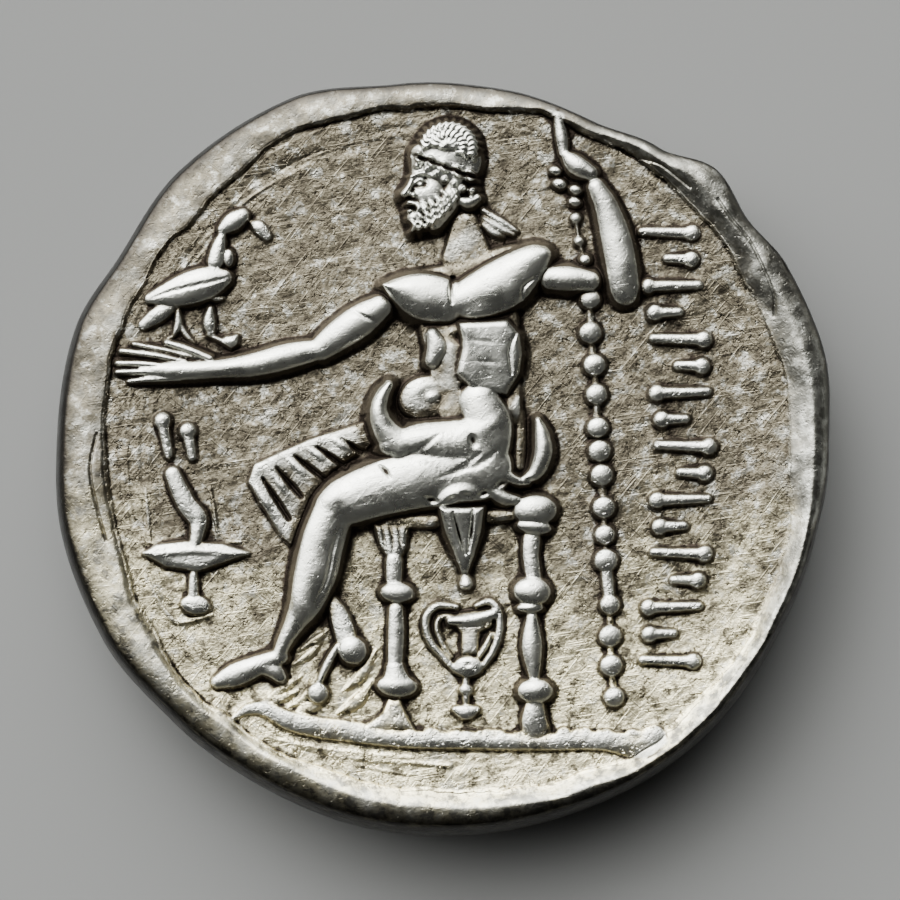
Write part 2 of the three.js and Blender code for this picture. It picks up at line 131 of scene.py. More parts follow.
def round_table(rows, degrees):
    """Values in the given directions, eased from each row of (direction, value) to the next, all round."""
    at = np.array([row[0] for row in rows], float)
    value = np.array([row[1] for row in rows], float)
    at = np.append(at, at[0] + 360)
    value = np.append(value, value[0])
    d = np.mod(np.asarray(degrees, float) - at[0], 360) + at[0]
    i = np.clip(np.searchsorted(at, d, side="right") - 1, 0, len(at) - 2)
    share = ease((d - at[i]) / (at[i + 1] - at[i]))
    return value[i] + (value[i + 1] - value[i]) * share


def flan_radius(degrees):
    return FLAN_RADIUS * round_table(OUTLINE, degrees)


# The point that the radii go out from, set so that the outline's box is centred on the origin.
around = np.arange(360.0)
rim_x = flan_radius(around) * np.cos(np.radians(around))
rim_y = flan_radius(around) * np.sin(np.radians(around))
FLAN_MIDDLE = (-(rim_x.min() + rim_x.max()) / 2, -(rim_y.min() + rim_y.max()) / 2)

# Sample places in millimetres. Row j of a field is at LINE[j] in Y, column i at LINE[i] in X.
LINE = (np.arange(SAMPLES) - (SAMPLES - 1) / 2) * PITCH
X, Y = np.meshgrid(LINE, LINE)
FROM_MIDDLE = np.hypot(X - FLAN_MIDDLE[0], Y - FLAN_MIDDLE[1])
DIRECTION = np.degrees(np.arctan2(Y - FLAN_MIDDLE[1], X - FLAN_MIDDLE[0]))
EDGE = flan_radius(DIRECTION)
FREQUENCY = np.fft.fftfreq(SAMPLES)[:, None] ** 2 + np.fft.rfftfreq(SAMPLES)[None, :] ** 2


def blur(field, width):
    """A Gaussian blur; its width is in millimetres."""
    spectrum = np.fft.rfft2(field) * np.exp(-2 * (math.pi * width / PITCH) ** 2 * FREQUENCY)
    return np.fft.irfft2(spectrum, s=field.shape)


def grain(seed, size):
    """Smooth noise of unit spread, with lumps about as wide as size, in millimetres."""
    noise = blur(np.random.default_rng(seed).standard_normal((SAMPLES, SAMPLES)), size / 2)
    return noise / noise.std()


def flow(seed, cells_around, cells_out):
    """Noise drawn out along or across the rim: so many cells round the coin, and so many out to its edge."""
    table = np.random.default_rng(seed).standard_normal((cells_around + 1, cells_out + 1))
    table[-1] = table[0]
    u = np.mod(DIRECTION, 360) / 360 * cells_around
    v = np.clip(FROM_MIDDLE / (1.06 * FLAN_RADIUS), 0, 0.999) * cells_out
    i, j = np.minimum(u.astype(int), cells_around - 1), v.astype(int)
    fu, fv = ease(u - i), ease(v - j)
    low = table[i, j] * (1 - fv) + table[i, j + 1] * fv
    high = table[i + 1, j] * (1 - fv) + table[i + 1, j + 1] * fv
    return low * (1 - fu) + high * fu


def sample(field, x, y):
    """A field's values between its samples, at places in millimetres."""
    u = np.clip((x - LINE[0]) / PITCH, 0, SAMPLES - 1.001)
    v = np.clip((y - LINE[0]) / PITCH, 0, SAMPLES - 1.001)
    i, j = u.astype(int), v.astype(int)
    fu, fv = u - i, v - j
    low = field[j, i] * (1 - fu) + field[j, i + 1] * fu
    high = field[j + 1, i] * (1 - fu) + field[j + 1, i + 1] * fu
    return low * (1 - fv) + high * fv


def smooth_path(rows, steps=5):
    """The rows with points eased in between them, on a Catmull-Rom curve."""
    points = np.array(rows, float)
    ends = np.vstack([2 * points[0] - points[1], points, 2 * points[-1] - points[-2]])
    path = []
    for a, b, c, d in zip(ends[:-3], ends[1:-2], ends[2:-1], ends[3:]):
        for t in np.arange(steps) / steps:
            bend = (2 * a - 5 * b + 4 * c - d) * t * t + (3 * b - a - 3 * c + d) * t ** 3
            path.append(0.5 * (2 * b + (c - a) * t + bend))
    path.append(points[-1])
    path = np.array(path)
    path[:, 2] = np.maximum(path[:, 2], 0.6)
    return path


def from_segment(x, y, ax, ay, bx, by):
    """How far along a segment the nearest point is, as a share, and how far away."""
    length = max((bx - ax) ** 2 + (by - ay) ** 2, 1e-9)
    t = np.clip(((x - ax) * (bx - ax) + (y - ay) * (by - ay)) / length, 0, 1)
    return t, np.hypot(x - ax - t * (bx - ax), y - ay - t * (by - ay))


class Die:
    """One face's layer of forms, and the drawing board that they are cut on."""

    def __init__(self, middle, radius, mirror=1):
        self.unit = radius / GRID_UNITS
        self.x = (X[0] - middle[0]) * mirror / self.unit
        self.y = (Y[:, 0] - middle[1]) / self.unit
        self.layer = np.full((SAMPLES, SAMPLES), -1.0)

    def window(self, low_x, low_y, high_x, high_y):
        columns = np.nonzero((self.x >= low_x) & (self.x <= high_x))[0]
        rows = np.nonzero((self.y >= low_y) & (self.y <= high_y))[0]
        box = (slice(rows[0], rows[-1] + 1), slice(columns[0], columns[-1] + 1))
        return box, self.x[box[1]][None, :], self.y[box[0]][:, None]

    def wall(self, height):
        """How far a form's wall leans out, in the die's units."""
        return WALL_LEAN * height * CROWN_FOOT / self.unit

    def lay(self, box, form, how, soft):
        """Puts a form on the layer: over what is there, added to it, or cut from it."""
        part = self.layer[box]
        if how == "add":
            part += form
        elif how == "cut":
            part -= form
        else:
            joined = np.maximum(part, form)
            if soft > 0:
                near = np.maximum(soft - np.abs(part - form), 0) / soft
                both = np.clip(np.minimum(part, form) / soft, 0, 1)
                joined += near * near * soft / 4 * both
            part[:] = joined

    def rise(self, ratio, beyond, height, how):
        """A form's height at a share of its half width, or at a distance beyond it where that is over one."""
        if how in ("add", "cut"):
            return height * np.maximum(1 - ratio * ratio, 0) ** 1.5
        crown = CROWN_FOOT + (1 - CROWN_FOOT) * np.maximum(1 - ratio * ratio, 0) ** 0.75
        left = 1 - beyond / np.maximum(self.wall(height), 1e-6)
        wall = CROWN_FOOT * np.maximum(left, 0) ** 1.7
        return np.where(ratio < 1, crown, wall) * height - (left <= 0)

    def ridge(self, rows, how="over", soft=0.0, curved=True, high=1.0):
        """A swept form with round ends along rows of (x, y, half width, height as a share of high)."""
        rows = [(x, y, half, share * high) for x, y, half, share in rows]
        path = smooth_path(rows) if curved and len(rows) > 2 else np.array(rows, float)
        reach = path[:, 2].max() + (self.wall(path[:, 3].max()) if how == "over" else 0)
        box, x, y = self.window(*(path[:, :2].min(axis=0) - reach), *(path[:, :2].max(axis=0) + reach))
        form = np.full((y.shape[0], x.shape[1]), 0.0 if how != "over" else -1.0)
        for (ax, ay, ar, ah), (bx, by, br, bh) in zip(path[:-1], path[1:]):
            t, away = from_segment(x, y, ax, ay, bx, by)
            half = ar + (br - ar) * t
            form = np.maximum(form, self.rise(away / half, away - half, ah + (bh - ah) * t, how))
        self.lay(box, form, how, soft)

    def oval(self, x0, y0, along, across, degrees, height, how="over", soft=0.0):
        reach = max(along, across) + (self.wall(height) if how == "over" else 0)
        box, x, y = self.window(x0 - reach, y0 - reach, x0 + reach, y0 + reach)
        c, s = math.cos(math.radians(degrees)), math.sin(math.radians(degrees))
        u = (x - x0) * c + (y - y0) * s
        v = (y - y0) * c - (x - x0) * s
        ratio = np.hypot(u / along, v / across)
        away = np.hypot(u, v)
        beyond = away - away / np.maximum(ratio, 1e-6)
        self.lay(box, self.rise(ratio, beyond, height, how), how, soft)

    def lean(self, x0, y0, along, across, slope_x, slope_y):
        """Tilts what is raised inside an oval; the slopes are in millimetres for each of the die's units."""
        box, x, y = self.window(x0 - along, y0 - across, x0 + along, y0 + across)
        ratio = np.hypot((x - x0) / along, (y - y0) / across)
        weight = ease(np.clip((1 - ratio) / 0.3, 0, 1)) * np.clip(self.layer[box] / 0.3, 0, 1)
        self.layer[box] += weight * ((x - x0) * slope_x + (y - y0) * slope_y)

    def forms(self, high, forms, soft=0.0):
        """Ridges, as rows of (x, y, half width, share), and ovals; their heights are shares of high."""
        for form in forms:
            if isinstance(form[0], tuple):
                self.ridge(form, soft=soft, high=high)
            else:
                self.oval(*form[:5], form[5] * high, soft=soft)

    def grooves(self, forms):
        for rows in forms:
            self.ridge(rows, how="cut")

    def bead(self, x0, y0, radius, height, how="over", soft=0.0):
        self.oval(x0, y0, radius, radius, 0, height, how, soft)

    def patch(self, corners, height, how="over", soft=0.0):
        """A flat-topped form inside a ring of corners (x, y), with its wall outside them."""
        ring = np.array(corners, float)
        reach = self.wall(height) + 1
        box, x, y = self.window(*(ring.min(axis=0) - reach), *(ring.max(axis=0) + reach))
        away = np.full((y.shape[0], x.shape[1]), 1e9)
        inside = np.zeros(away.shape, bool)
        for (ax, ay), (bx, by) in zip(ring, np.roll(ring, -1, axis=0)):
            away = np.minimum(away, from_segment(x, y, ax, ay, bx, by)[1])
            if ay != by:
                crossing = ax + (y - ay) * (bx - ax) / (by - ay)
                inside ^= ((ay > y) != (by > y)) & (x < crossing)
        ratio = np.where(inside, np.maximum(1 - away / PATCH_ROUNDING, 0), 2)
        self.lay(box, self.rise(ratio, np.where(inside, 0, away), height, how), how, soft)


UNITS_IN_A_THIRD = 21


def profile_face(die, front, hairline, third, facing, height):
    """A calm, general face in profile, on a drawing manual's thirds; facing is -1 for left, 1 for right."""
    u = third / UNITS_IN_A_THIRD
    brow = hairline - third
    nose = brow - third
    chin = nose - third

    def spot(inward, y, half, share):
        return front - facing * inward * u, y, half * u, share * height

    def oval(inward, y, along, across, high, how="over", soft=0.0):
        die.oval(front - facing * inward * u, y, along * u, across * u, 0, high, how, soft)

    # Forehead, cheek and jaw.
    die.ridge([spot(9, hairline + 2 * u, 9, 0.74), spot(9, brow - 4 * u, 9, 0.72)])
    oval(19, nose + 5 * u, 18, 20, 0.78 * height, soft=0.04)
    die.ridge([
        spot(46, brow - 4 * u, 9, 0.76), spot(38, nose - 2 * u, 12, 0.76), spot(22, chin + u, 13, 0.74),
    ], soft=0.04)
    # The eye in its socket, its lids and the brow over it.
    oval(11, brow - 8 * u, 9.5, 6.5, 0.18 * height, how="cut")
    oval(10, brow - 8.5 * u, 5, 3.8, 0.7 * height)
    die.ridge([
        spot(2, brow - 9 * u, 1.6, 0.68), spot(10, brow - 4 * u, 2, 0.75),
        spot(19, brow - 9 * u, 1.6, 0.68),
    ])
    die.ridge([
        spot(3, brow - 11 * u, 1.3, 0.6), spot(10, brow - 13.5 * u, 1.6, 0.65),
        spot(18, brow - 11 * u, 1.3, 0.6),
    ])
    die.ridge([spot(1, brow - u, 3, 0.74), spot(11, brow + 2.5 * u, 3.6, 0.83), spot(23, brow - u, 3, 0.76)])
    # Nose, lips and chin.
    die.ridge([
        spot(2, brow - 3 * u, 3.6, 0.72), spot(-2, nose + 9 * u, 4.2, 0.77),
        spot(-6, nose + 3 * u, 4.8, 0.8),
    ])
    oval(3, nose + 2 * u, 5, 4, 0.8 * height)
    oval(-1, nose - 7 * u, 5, 3, 0.74 * height)
    oval(0, nose - 14 * u, 5, 3.2, 0.74 * height)
    oval(4, chin + u, 8, 7, 0.74 * height)
    die.ridge([spot(-5, nose - 10.5 * u, 1.4, 0.15), spot(6, nose - 11.5 * u, 1.4, 0.1)], how="cut")


# The back: a god on a throne.


def god_head(die):
    """A bearded head in profile, to the left."""
    H = FIGURE
    third = UNITS_IN_A_THIRD
    hairline = 290
    brow = hairline - third
    nose = brow - third
    chin = nose - third
    front = -40
    die.oval(front + 36, brow + 16, 34, 30, 0, 0.84 * H)
    profile_face(die, front, hairline, third, -1, H)
    # Moustache and beard, in curled locks along the jaw.
    die.ridge([
        (front - 2, nose - 5, 2.6, 0.78), (front + 7, nose - 8, 3.4, 0.85),
        (front + 15, nose - 15, 2.4, 0.8),
    ], high=H)
    for row in range(3):
        for i in range(7 - row):
            along = (i + 0.5 * (row % 2)) / 6
            x = front + 3 + 41 * along + 2 * row
            y = chin - 8 + 28 * along ** 2 + 8.5 * row
            die.ridge([
                (x - 2, y + 5, 2.4, 0.78), (x + 1.5, y, 3.4, 0.88), (x - 1.5, y - 5, 2.2, 0.76),
            ], high=H)
    # Hair: three rows of locks that lie outwards from the crown.
    crown_x, crown_y = front + 38, hairline + 6
    for row, (near, far, high) in enumerate(((0, 12, 1.0), (9, 21, 0.97), (18, 29, 0.92))):
        locks = 7 + 4 * row
        for i in range(locks):
            turn = math.radians(160 - 205 * (i + 0.5 * (row % 2)) / locks)
            path = []
            for reach, bend, half, share in (
                (near, 0, 2.6, 0.95), (0.5 * (near + far), 0.28, 3.8, 1), (far, 0.05, 2.2, 0.9),
            ):
                path.append((
                    crown_x + reach * math.cos(turn + bend), crown_y + 0.9 * reach * math.sin(turn + bend),
                    half, share * high * H,
                ))
            die.ridge(path)
    # A wreath of leaves along a band, and a row of curls under it.
    band = ((-38, 289), (-26, 285), (-13, 280), (0, 275), (13, 270), (25, 267))
    die.ridge([(x, y, 2.4, 0.12) for x, y in band], how="cut")
    for (ax, ay), (bx, by) in zip(band[:-1], band[1:]):
        for side in (-1, 1):
            die.ridge([
                (ax + 3, ay + 2.5 * side, 1.6, 0.84),
                (0.5 * (ax + bx), 0.5 * (ay + by) + 4 * side, 3, 0.97),
                (bx - 1, by + 2.5 * side, 1.4, 0.84),
            ], high=H)
    for x, y in ((-33, 279), (-24, 275), (-15, 270), (-6, 265), (3, 260), (12, 256), (21, 254)):
        die.oval(x, y, 4.8, 4.2, 40, 0.9 * H)
        die.oval(x + 0.5, y, 1.8, 1.5, 40, 0.12, how="cut")
    die.ridge([(-14, 318, 2.4, 0.4), (-10, 310, 3, 0.6)], soft=0.04)
    # The hair rolled up at the nape, and the tied ends on the shoulder.
    die.ridge([(8, 246, 5, 0.6), (17, 243, 7, 0.7), (26, 247, 5, 0.6)], high=H)
    for lift, length in ((0, 34), (-8, 30), (-14, 20)):
        die.ridge([
            (32, 236 + lift, 2.6, 0.24), (32 + 0.5 * length, 225 + 0.8 * lift, 3.4, 0.26),
            (32 + length, 215 + 0.4 * lift, 2, 0.18),
        ])


def god_trunk(die):
    H = FIGURE
    die.forms(H, (
        ((14, 222, 13, 0.26), (16, 190, 24, 0.3)),
        ((-34, 168, 8, 0.3), (8, 172, 12, 0.34), (48, 186, 12, 0.36), (80, 196, 8, 0.36)),
        ((18, 124, 48, 0.5), (24, 80, 44, 0.52), (28, 40, 40, 0.6)),
        # Chest: the near side comes to a point at the shoulder, the far side runs up to the raised arm.
        ((-66, 160, 3, 0.86), (-48, 155, 14, 0.94), (-27, 149, 23, 1), (-6, 145, 22, 0.96)),
        (
            (10, 145, 17, 0.94), (28, 150, 23, 1.02), (54, 163, 25, 1.04), (79, 183, 17, 1),
            (90, 190, 10, 0.9),
        ),
    ))
    die.grooves((
        ((2, 168, 3, 0.2), (0, 156, 3, 0.14), (1, 142, 2.5, 0.06)),
        ((84, 168, 2, 0.04), (72, 158, 3, 0.1), (70, 146, 2, 0.06)),
    ))
    # Belly: one broad block and a narrow strip beside a hollow.
    die.patch(
        ((6, 124), (56, 127), (69, 112), (72, 92), (69, 72), (56, 50), (20, 55), (4, 72), (10, 98)),
        0.86 * H,
    )
    die.oval(40, 92, 26, 30, 0, 0.06, how="add")
    for x, y, half, degrees in ((34, 104, 17, -5), (36, 84, 18, -4)):
        die.oval(x, y, half, 3, degrees, 0.025, how="cut")
    die.ridge([(66, 116, 2, 0.05), (58, 96, 3, 0.09), (60, 72, 2, 0.06)], how="cut")
    die.ridge([(-18, 112, 7, 0.66), (-14, 100, 10, 0.7), (-18, 86, 8, 0.62)], high=H)
    die.oval(6, 108, 10, 8, 0, 0.12, how="cut")
    die.bead(12, 59, 5, 0.12, how="cut")
    die.lean(38, 88, 52, 56, -0.003, 0.0022)


def god_arms(die):
    L = LIMB
    # The near arm holds out its open hand, thumb and first finger apart.
    die.ridge([(-70, 139, 12, 0.9), (-90, 125, 16, 1.04), (-112, 110, 15, 1), (-128, 98, 12, 0.9)], high=L)
    die.ridge([
        (-136, 96, 11, 0.85), (-162, 90, 13, 0.97), (-194, 82, 12, 0.95), (-227, 78, 9.5, 0.85),
        (-262, 76, 9.5, 0.8), (-284, 76, 9, 0.7), (-304, 77, 6, 0.56),
    ], high=L, soft=0.05)
    fingers = (
        (-262, 85, -326, 96, 0.56), (-270, 79, -330, 84, 0.6), (-272, 73, -330, 75, 0.62),
        (-268, 68, -318, 66, 0.6),
    )
    for x0, y0, x1, y1, high in fingers:
        die.ridge([
            (x0, y0, 3, high * L), (0.5 * (x0 + x1), 0.5 * (y0 + y1) + 1, 3.6, high * L),
            (x1, y1, 2.4, 0.7 * high * L),
        ])
    die.ridge([(-314, 103, 2, 0.26), (-280, 96, 2.8, 0.34), (-246, 87, 3, 0.4)])
    die.ridge([(-281, 104, 3, 0.34), (-262, 98, 4, 0.44), (-238, 88, 4, 0.5)])
    die.ridge([(-98, 136, 2, 0.03), (-84, 128, 3, 0.07), (-74, 124, 2, 0.03)], how="cut")
    # The far arm is raised and bent, its hand closed on the sceptre.
    die.forms(L, (
        ((98, 168, 12, 0.9), (118, 167, 12.5, 1), (138, 165, 10, 0.9)),
        (
            (172, 154, 13, 0.92), (171, 162, 15, 1), (168, 182, 15.5, 1.05), (163, 208, 15, 1),
            (154, 238, 12, 0.95), (144, 258, 9, 0.9),
        ),
    ))
    die.ridge([(114, 290, 5, 0.7), (124, 280, 10, 0.9), (138, 272, 8, 0.85)], high=L, soft=0.05)
    for x, y, half, high in (
        (104, 275, 4.5, 0.5), (108, 262, 5, 0.55), (124, 256, 5, 0.55), (123, 244, 4.5, 0.5),
    ):
        die.oval(x, y, 1.4 * half, half, -15, high * L)
    # A ridge of metal that runs in from the rim to the hand.
    die.ridge([(106, 330, 4, 0.4), (110, 308, 6, 0.44), (112, 292, 5, 0.42)])


def god_legs(die):
    H = FIGURE
    die.ridge([
        (28, -20, 32, 0.98), (-22, -28, 31, 1.02), (-66, -40, 27, 1.02), (-100, -52, 24, 1),
        (-112, -60, 22, 0.98),
    ], high=H, soft=0.05)
    die.ridge([
        (-114, -60, 20, 0.98), (-125, -92, 21, 0.98), (-132, -122, 21, 0.96), (-141, -150, 17, 0.88),
        (-153, -172, 11, 0.74), (-163, -190, 8, 0.62), (-169, -203, 7, 0.55),
    ], high=H, soft=0.06)
    die.oval(-118, -48, 13, 15, 20, 0.06, how="add")
    die.lean(-128, -112, 46, 70, -0.006, 0)
    die.ridge([
        (-108, -74, 2, 0.03), (-116, -100, 3, 0.07), (-122, -130, 3, 0.07), (-134, -156, 2, 0.03),
    ], how="cut")
    die.ridge([
        (-168, -206, 8, 0.54), (-190, -215, 10, 0.52), (-212, -224, 11, 0.46), (-230, -231, 6, 0.36),
    ], high=H, soft=0.05)
    die.ridge([(-190, -214, 8, 0.5), (-174, -220, 8, 0.52), (-168, -226, 6, 0.46)], high=H, soft=0.04)
    # The far leg, and its foot seen from behind, up on its toes.
    die.forms(H, (
        ((-117, -150, 5, 0.26), (-110, -166, 9, 0.34), (-104, -184, 10, 0.38), (-102, -196, 9, 0.4)),
        (-97, -200, 14, 13, -40, 0.58),
    ))
    die.ridge([(-112, -196, 3.5, 0.34), (-122, -214, 4, 0.34), (-129, -230, 3, 0.3)])
    die.bead(-131, -242, 9.5, 0.38)
    # Folds of a dress that trails behind the feet.
    trails = (
        (-186, -250, -164, -236, -148, -226, 4), (-160, -256, -142, -244, -126, -214, 4),
        (-196, -253, -176, -250, -150, -240, 5),
        (-154, -262, -140, -256, -122, -250, 6), (-106, -240, -88, -224, -74, -200, 5),
        (-112, -262, -92, -250, -78, -230, 6),
        (-150, -200, -134, -190, -122, -180, 4), (-156, -214, -140, -204, -128, -192, 4),
    )
    for x0, y0, x1, y1, x2, y2, half in trails:
        die.ridge([(x0, y0, 1, 0.06), (x1, y1, half, 0.12), (x2, y2, 1, 0.06)])


def god_cloak(die):
    H = FIGURE
    # Over the lap, with a hooked fold beside the hollow of the belly.
    die.oval(-22, 50, 29, 21, 10, 0.46 * H)
    die.oval(-16, 50, 20, 14, 10, 0.07, how="cut")
    die.oval(-18, 50, 9, 7, 10, 0.1, how="add")
    die.ridge([(28, 46, 20, 0.92), (36, 22, 24, 0.98), (30, 0, 28, 1)], high=H, soft=0.05)
    die.ridge([
        (-60, 2, 12, 0.98), (-30, 6, 18, 1.04), (10, 4, 24, 1.06), (40, 22, 14, 1),
    ], high=H, soft=0.06)
    die.ridge([
        (-61, 62, 5, 0.8), (-68, 50, 8, 0.92), (-71, 34, 10, 1), (-64, 16, 13, 1.02), (-50, 2, 16, 1.03),
    ], high=H, soft=0.04)
    for x, y, reach in ((-12, 12, 30), (30, -6, 40), (48, -2, 36)):
        die.ridge([
            (x, y, 2, 0.03), (x - 0.5 * reach, y - 0.4 * reach, 5, 0.05),
            (x - reach, y - 0.6 * reach, 2, 0.02),
        ], how="cut")
    die.oval(22, 6, 6, 9, 20, 0.14, how="cut")
    die.ridge([(-70, -18, 2, 0.08), (-64, -24, 3, 0.14), (-60, -30, 2, 0.08)], how="cut")
    for x, y, degrees in ((0, -52, 30), (16, -48, -20), (32, -46, 25), (-20, -52, -15), (50, -36, 30)):
        die.oval(x, y, 9, 4, degrees, 0.12, how="cut")
    # The swag under the seat, drawn in to a bead.
    die.patch(
        ((-13, -58), (34, -58), (31, -84), (24, -108), (18, -124), (10, -124), (2, -104), (-6, -84)),
        0.72 * H,
    )
    die.ridge([(14, -120, 5, 0.5 * H), (15, -134, 6, 0.42 * H)])
    die.grooves((
        ((2, -64, 1.5, 0.1), (8, -86, 2, 0.14), (14, -106, 1.5, 0.08)),
        ((22, -62, 1.5, 0.1), (20, -84, 2, 0.14), (17, -104, 1.5, 0.08)),
    ))
    die.lean(12, -86, 40, 52, -0.004, 0.006)
    # Folds tucked behind the hip.
    die.forms(H, (
        ((34, -38, 7, 0.8), (52, -50, 8, 0.76), (66, -52, 5, 0.6)),
        ((44, -18, 7, 0.85), (62, -32, 6, 0.7), (76, -34, 4, 0.5)),
    ))
    # The fringed end that hangs beside the knee.
    die.patch(
        (
            (-194, -16), (-142, 8), (-86, 26), (-78, 4), (-118, -22), (-140, -50), (-158, -96), (-170, -84),
            (-200, -34),
        ),
        0.26,
    )
    for x, y, dx, dy in (
        (-186, -30, 26, -40), (-172, -20, 24, -28), (-154, -8, 28, -22), (-132, 1, 28, -20),
        (-108, 8, 20, -12),
    ):
        die.ridge([
            (x, y, 2, 0.1), (x + 0.5 * dx, y + 0.5 * dy, 4, 0.24), (x + dx, y + dy, 4, 0.2),
        ], how="cut")
    for x, y, dx, dy in (
        (-192, -40, 24, -36), (-176, -26, 24, -32), (-160, -12, 26, -24), (-140, -1, 24, -18),
        (-116, 8, 20, -12),
    ):
        die.ridge([
            (x, y, 3, 0.3), (x + 0.4 * dx, y + 0.4 * dy, 5, 0.34), (x + 0.8 * dx, y + 0.8 * dy, 2.5, 0.24),
        ], soft=0.04)
    die.ridge([(-194, -10, 2, 0.05), (-150, 9, 2.4, 0.06), (-84, 32, 2, 0.05)], how="cut")


def throne(die):
    F = FURNITURE
    # The back's curled end.
    die.forms(F, (
        ((86, 27, 4, 1.1), (90, 12, 8, 1.3), (91, -6, 9.5, 1.4), (84, -24, 8, 1.2), (72, -31, 4, 1)),
        ((67, 34, 5, 0.5), (68, 6, 6, 0.6), (68, -18, 5, 0.56)),
    ))
    # The seat's rail.
    die.ridge([(-62, -72, 7, 0.5 * F), (-15, -72, 7, 0.5 * F), (60, -66, 6, 0.6 * F)], curved=False)
    # The near leg's turned members, from the seat down.
    die.forms(F, (
        (83, -62, 21, 15, 0, 1.3), (82, -78, 17, 8, -8, 1.15),
        ((80, -90, 9, 0.8), (79, -108, 8, 0.85), (82, -130, 8, 0.85)), (80, -142, 18, 14, -6, 1.3),
        (78, -158, 13, 6, 0, 1.05),
        ((80, -168, 6, 0.8), (80, -196, 10, 0.98), (82, -224, 6, 0.8)), (83, -240, 17, 12, 0, 1.2),
        ((83, -252, 9, 0.8), (82, -268, 12, 0.85), (84, -279, 14, 0.5)),
    ))
    # The far leg's.
    die.patch(((-76, -76), (-42, -76), (-44, -98), (-49, -108), (-62, -108), (-70, -96)), 0.6 * F)
    for x in (-68, -60, -52):
        die.ridge([(x, -78, 1.4, 0.06), (x + 2, -90, 2, 0.1), (x + 4, -102, 1.2, 0.05)], how="cut")
    die.forms(F, (
        ((-56, -112, 8, 0.75), (-56, -130, 8, 0.75)), (-53, -143, 16, 10, -4, 1.12),
        ((-54, -160, 7.5, 0.8), (-54, -186, 8, 0.84), (-55, -212, 7.5, 0.8)),
        ((-55, -218, 9, 0.9), (-54, -230, 14, 1.05)), (-53, -235, 19, 11, -4, 1.12),
    ))
    die.patch(
        ((-62, -248), (-50, -248), (-45, -262), (-36, -278), (-96, -280), (-78, -270), (-67, -262)),
        0.5 * F,
    )


def ground_line(die):
    G = 0.25
    die.ridge([
        (-216, -268, 2, 0.4), (-200, -258, 5, 0.7), (-182, -258, 7, 0.9), (-160, -269, 9, 1),
        (-130, -276, 10, 1), (-96, -280, 10, 1), (-52, -287, 8, 1.1), (18, -289, 8, 1.1),
        (88, -290, 8, 1.1), (148, -289, 9, 1.1), (184, -294, 12, 1), (200, -286, 12, 1),
    ], high=G)
    crumbs = np.random.default_rng(21)
    for x in np.arange(-40, 190, 7.0):
        half = crumbs.uniform(2, 5)
        off_x, off_y = crumbs.uniform(-3, 3), crumbs.uniform(-3, 3)
        die.oval(x + off_x, -283 + off_y, 1.5 * half, half, crumbs.uniform(-30, 30), 0.9 * G, soft=0.06)
    die.ridge([(-190, -284, 2, 0.05), (-120, -298, 2.4, 0.07), (-40, -306, 2, 0.05)])
    die.ridge([(-150, -296, 2, 0.04), (-90, -306, 2.4, 0.06), (0, -314, 2, 0.04)])


def sceptre(die):
    S = SYMBOL
    beads = (
        (124, 228, 5), (127, 205, 4.5), (133, 186, 6), (138, 148, 10), (138, 114, 10.5), (142, 82, 10.5),
        (144, 53, 10),
        (145, 20, 10), (147, -3, 10.5), (149, -27, 10.5), (151, -59, 10.5), (152, -86, 9.5),
        (153, -111, 11), (157, -155, 9.5),
        (157, -186, 10.5), (158, -215, 10.5), (161, -246, 9.5),
    )
    for (ax, ay, ar), (bx, by, br) in zip(beads[:-1], beads[1:]):
        shaft = ay - by > 40 and by < 0
        neck = min(ar, br) * (0.6 if shaft else 0.3)
        high = (0.75 if shaft else 0.4) * S
        die.ridge([(ax, ay, neck, high), (bx, by, neck, high)])
    for x, y, half in beads:
        die.oval(x, y, half, 0.97 * half, 0, S * (0.7 + 0.035 * half))


def eagle(die):
    S = SYMBOL
    # Body, tail, neck and head.
    die.forms(S, (
        (
            (-226, 168, 9, 1.3), (-240, 164, 15, 1.5), (-258, 158, 16, 1.45), (-278, 152, 12, 1.15),
            (-298, 148, 5, 0.7),
        ),
        ((-272, 142, 4, 0.75), (-288, 133, 8, 0.85), (-304, 122, 5, 0.6)),
        ((-227, 210, 4, 0.9), (-230, 198, 7, 1.1), (-233, 184, 8, 1.2)), (-220, 188, 5, 9, 0, 1.05),
        ((-226, 217, 5, 1), (-216, 224, 9, 1.2), (-207, 230, 7, 1.05)),
        ((-198, 224, 2, 0.4), (-190, 219, 6, 0.65), (-182, 210, 4, 0.5)),
    ))
    # The wing's feathers.
    for i in range(5):
        x, y = -296 + 13 * i, 148 + 3 * i
        die.ridge([(x, y, 1.2, 0.03), (x + 16, y + 6, 1.8, 0.05), (x + 28, y + 11, 1.2, 0.02)], how="cut")
    # Legs and claws.
    die.forms(S, (
        ((-272, 145, 2, 0.5), (-240, 147, 2.4, 0.6), (-226, 148, 2, 0.5)),
        ((-238, 138, 3, 0.7), (-239, 124, 5.5, 0.85), (-237, 114, 3, 0.7)),
        ((-240, 112, 2, 0.5), (-226, 106, 2.5, 0.6)),
    ))
    die.patch(((-224, 110), (-211, 112), (-211, 103), (-217, 98), (-226, 104)), 0.85 * S)
    die.forms(S, (
        ((-270, 138, 2.4, 0.6), (-270, 122, 3.6, 0.7), (-274, 112, 2, 0.5)),
        ((-268, 122, 2, 0.5), (-262, 112, 2.4, 0.55), (-254, 104, 2, 0.4)),
        ((-274, 111, 1.6, 0.4), (-284, 107, 2, 0.4)),
    ))


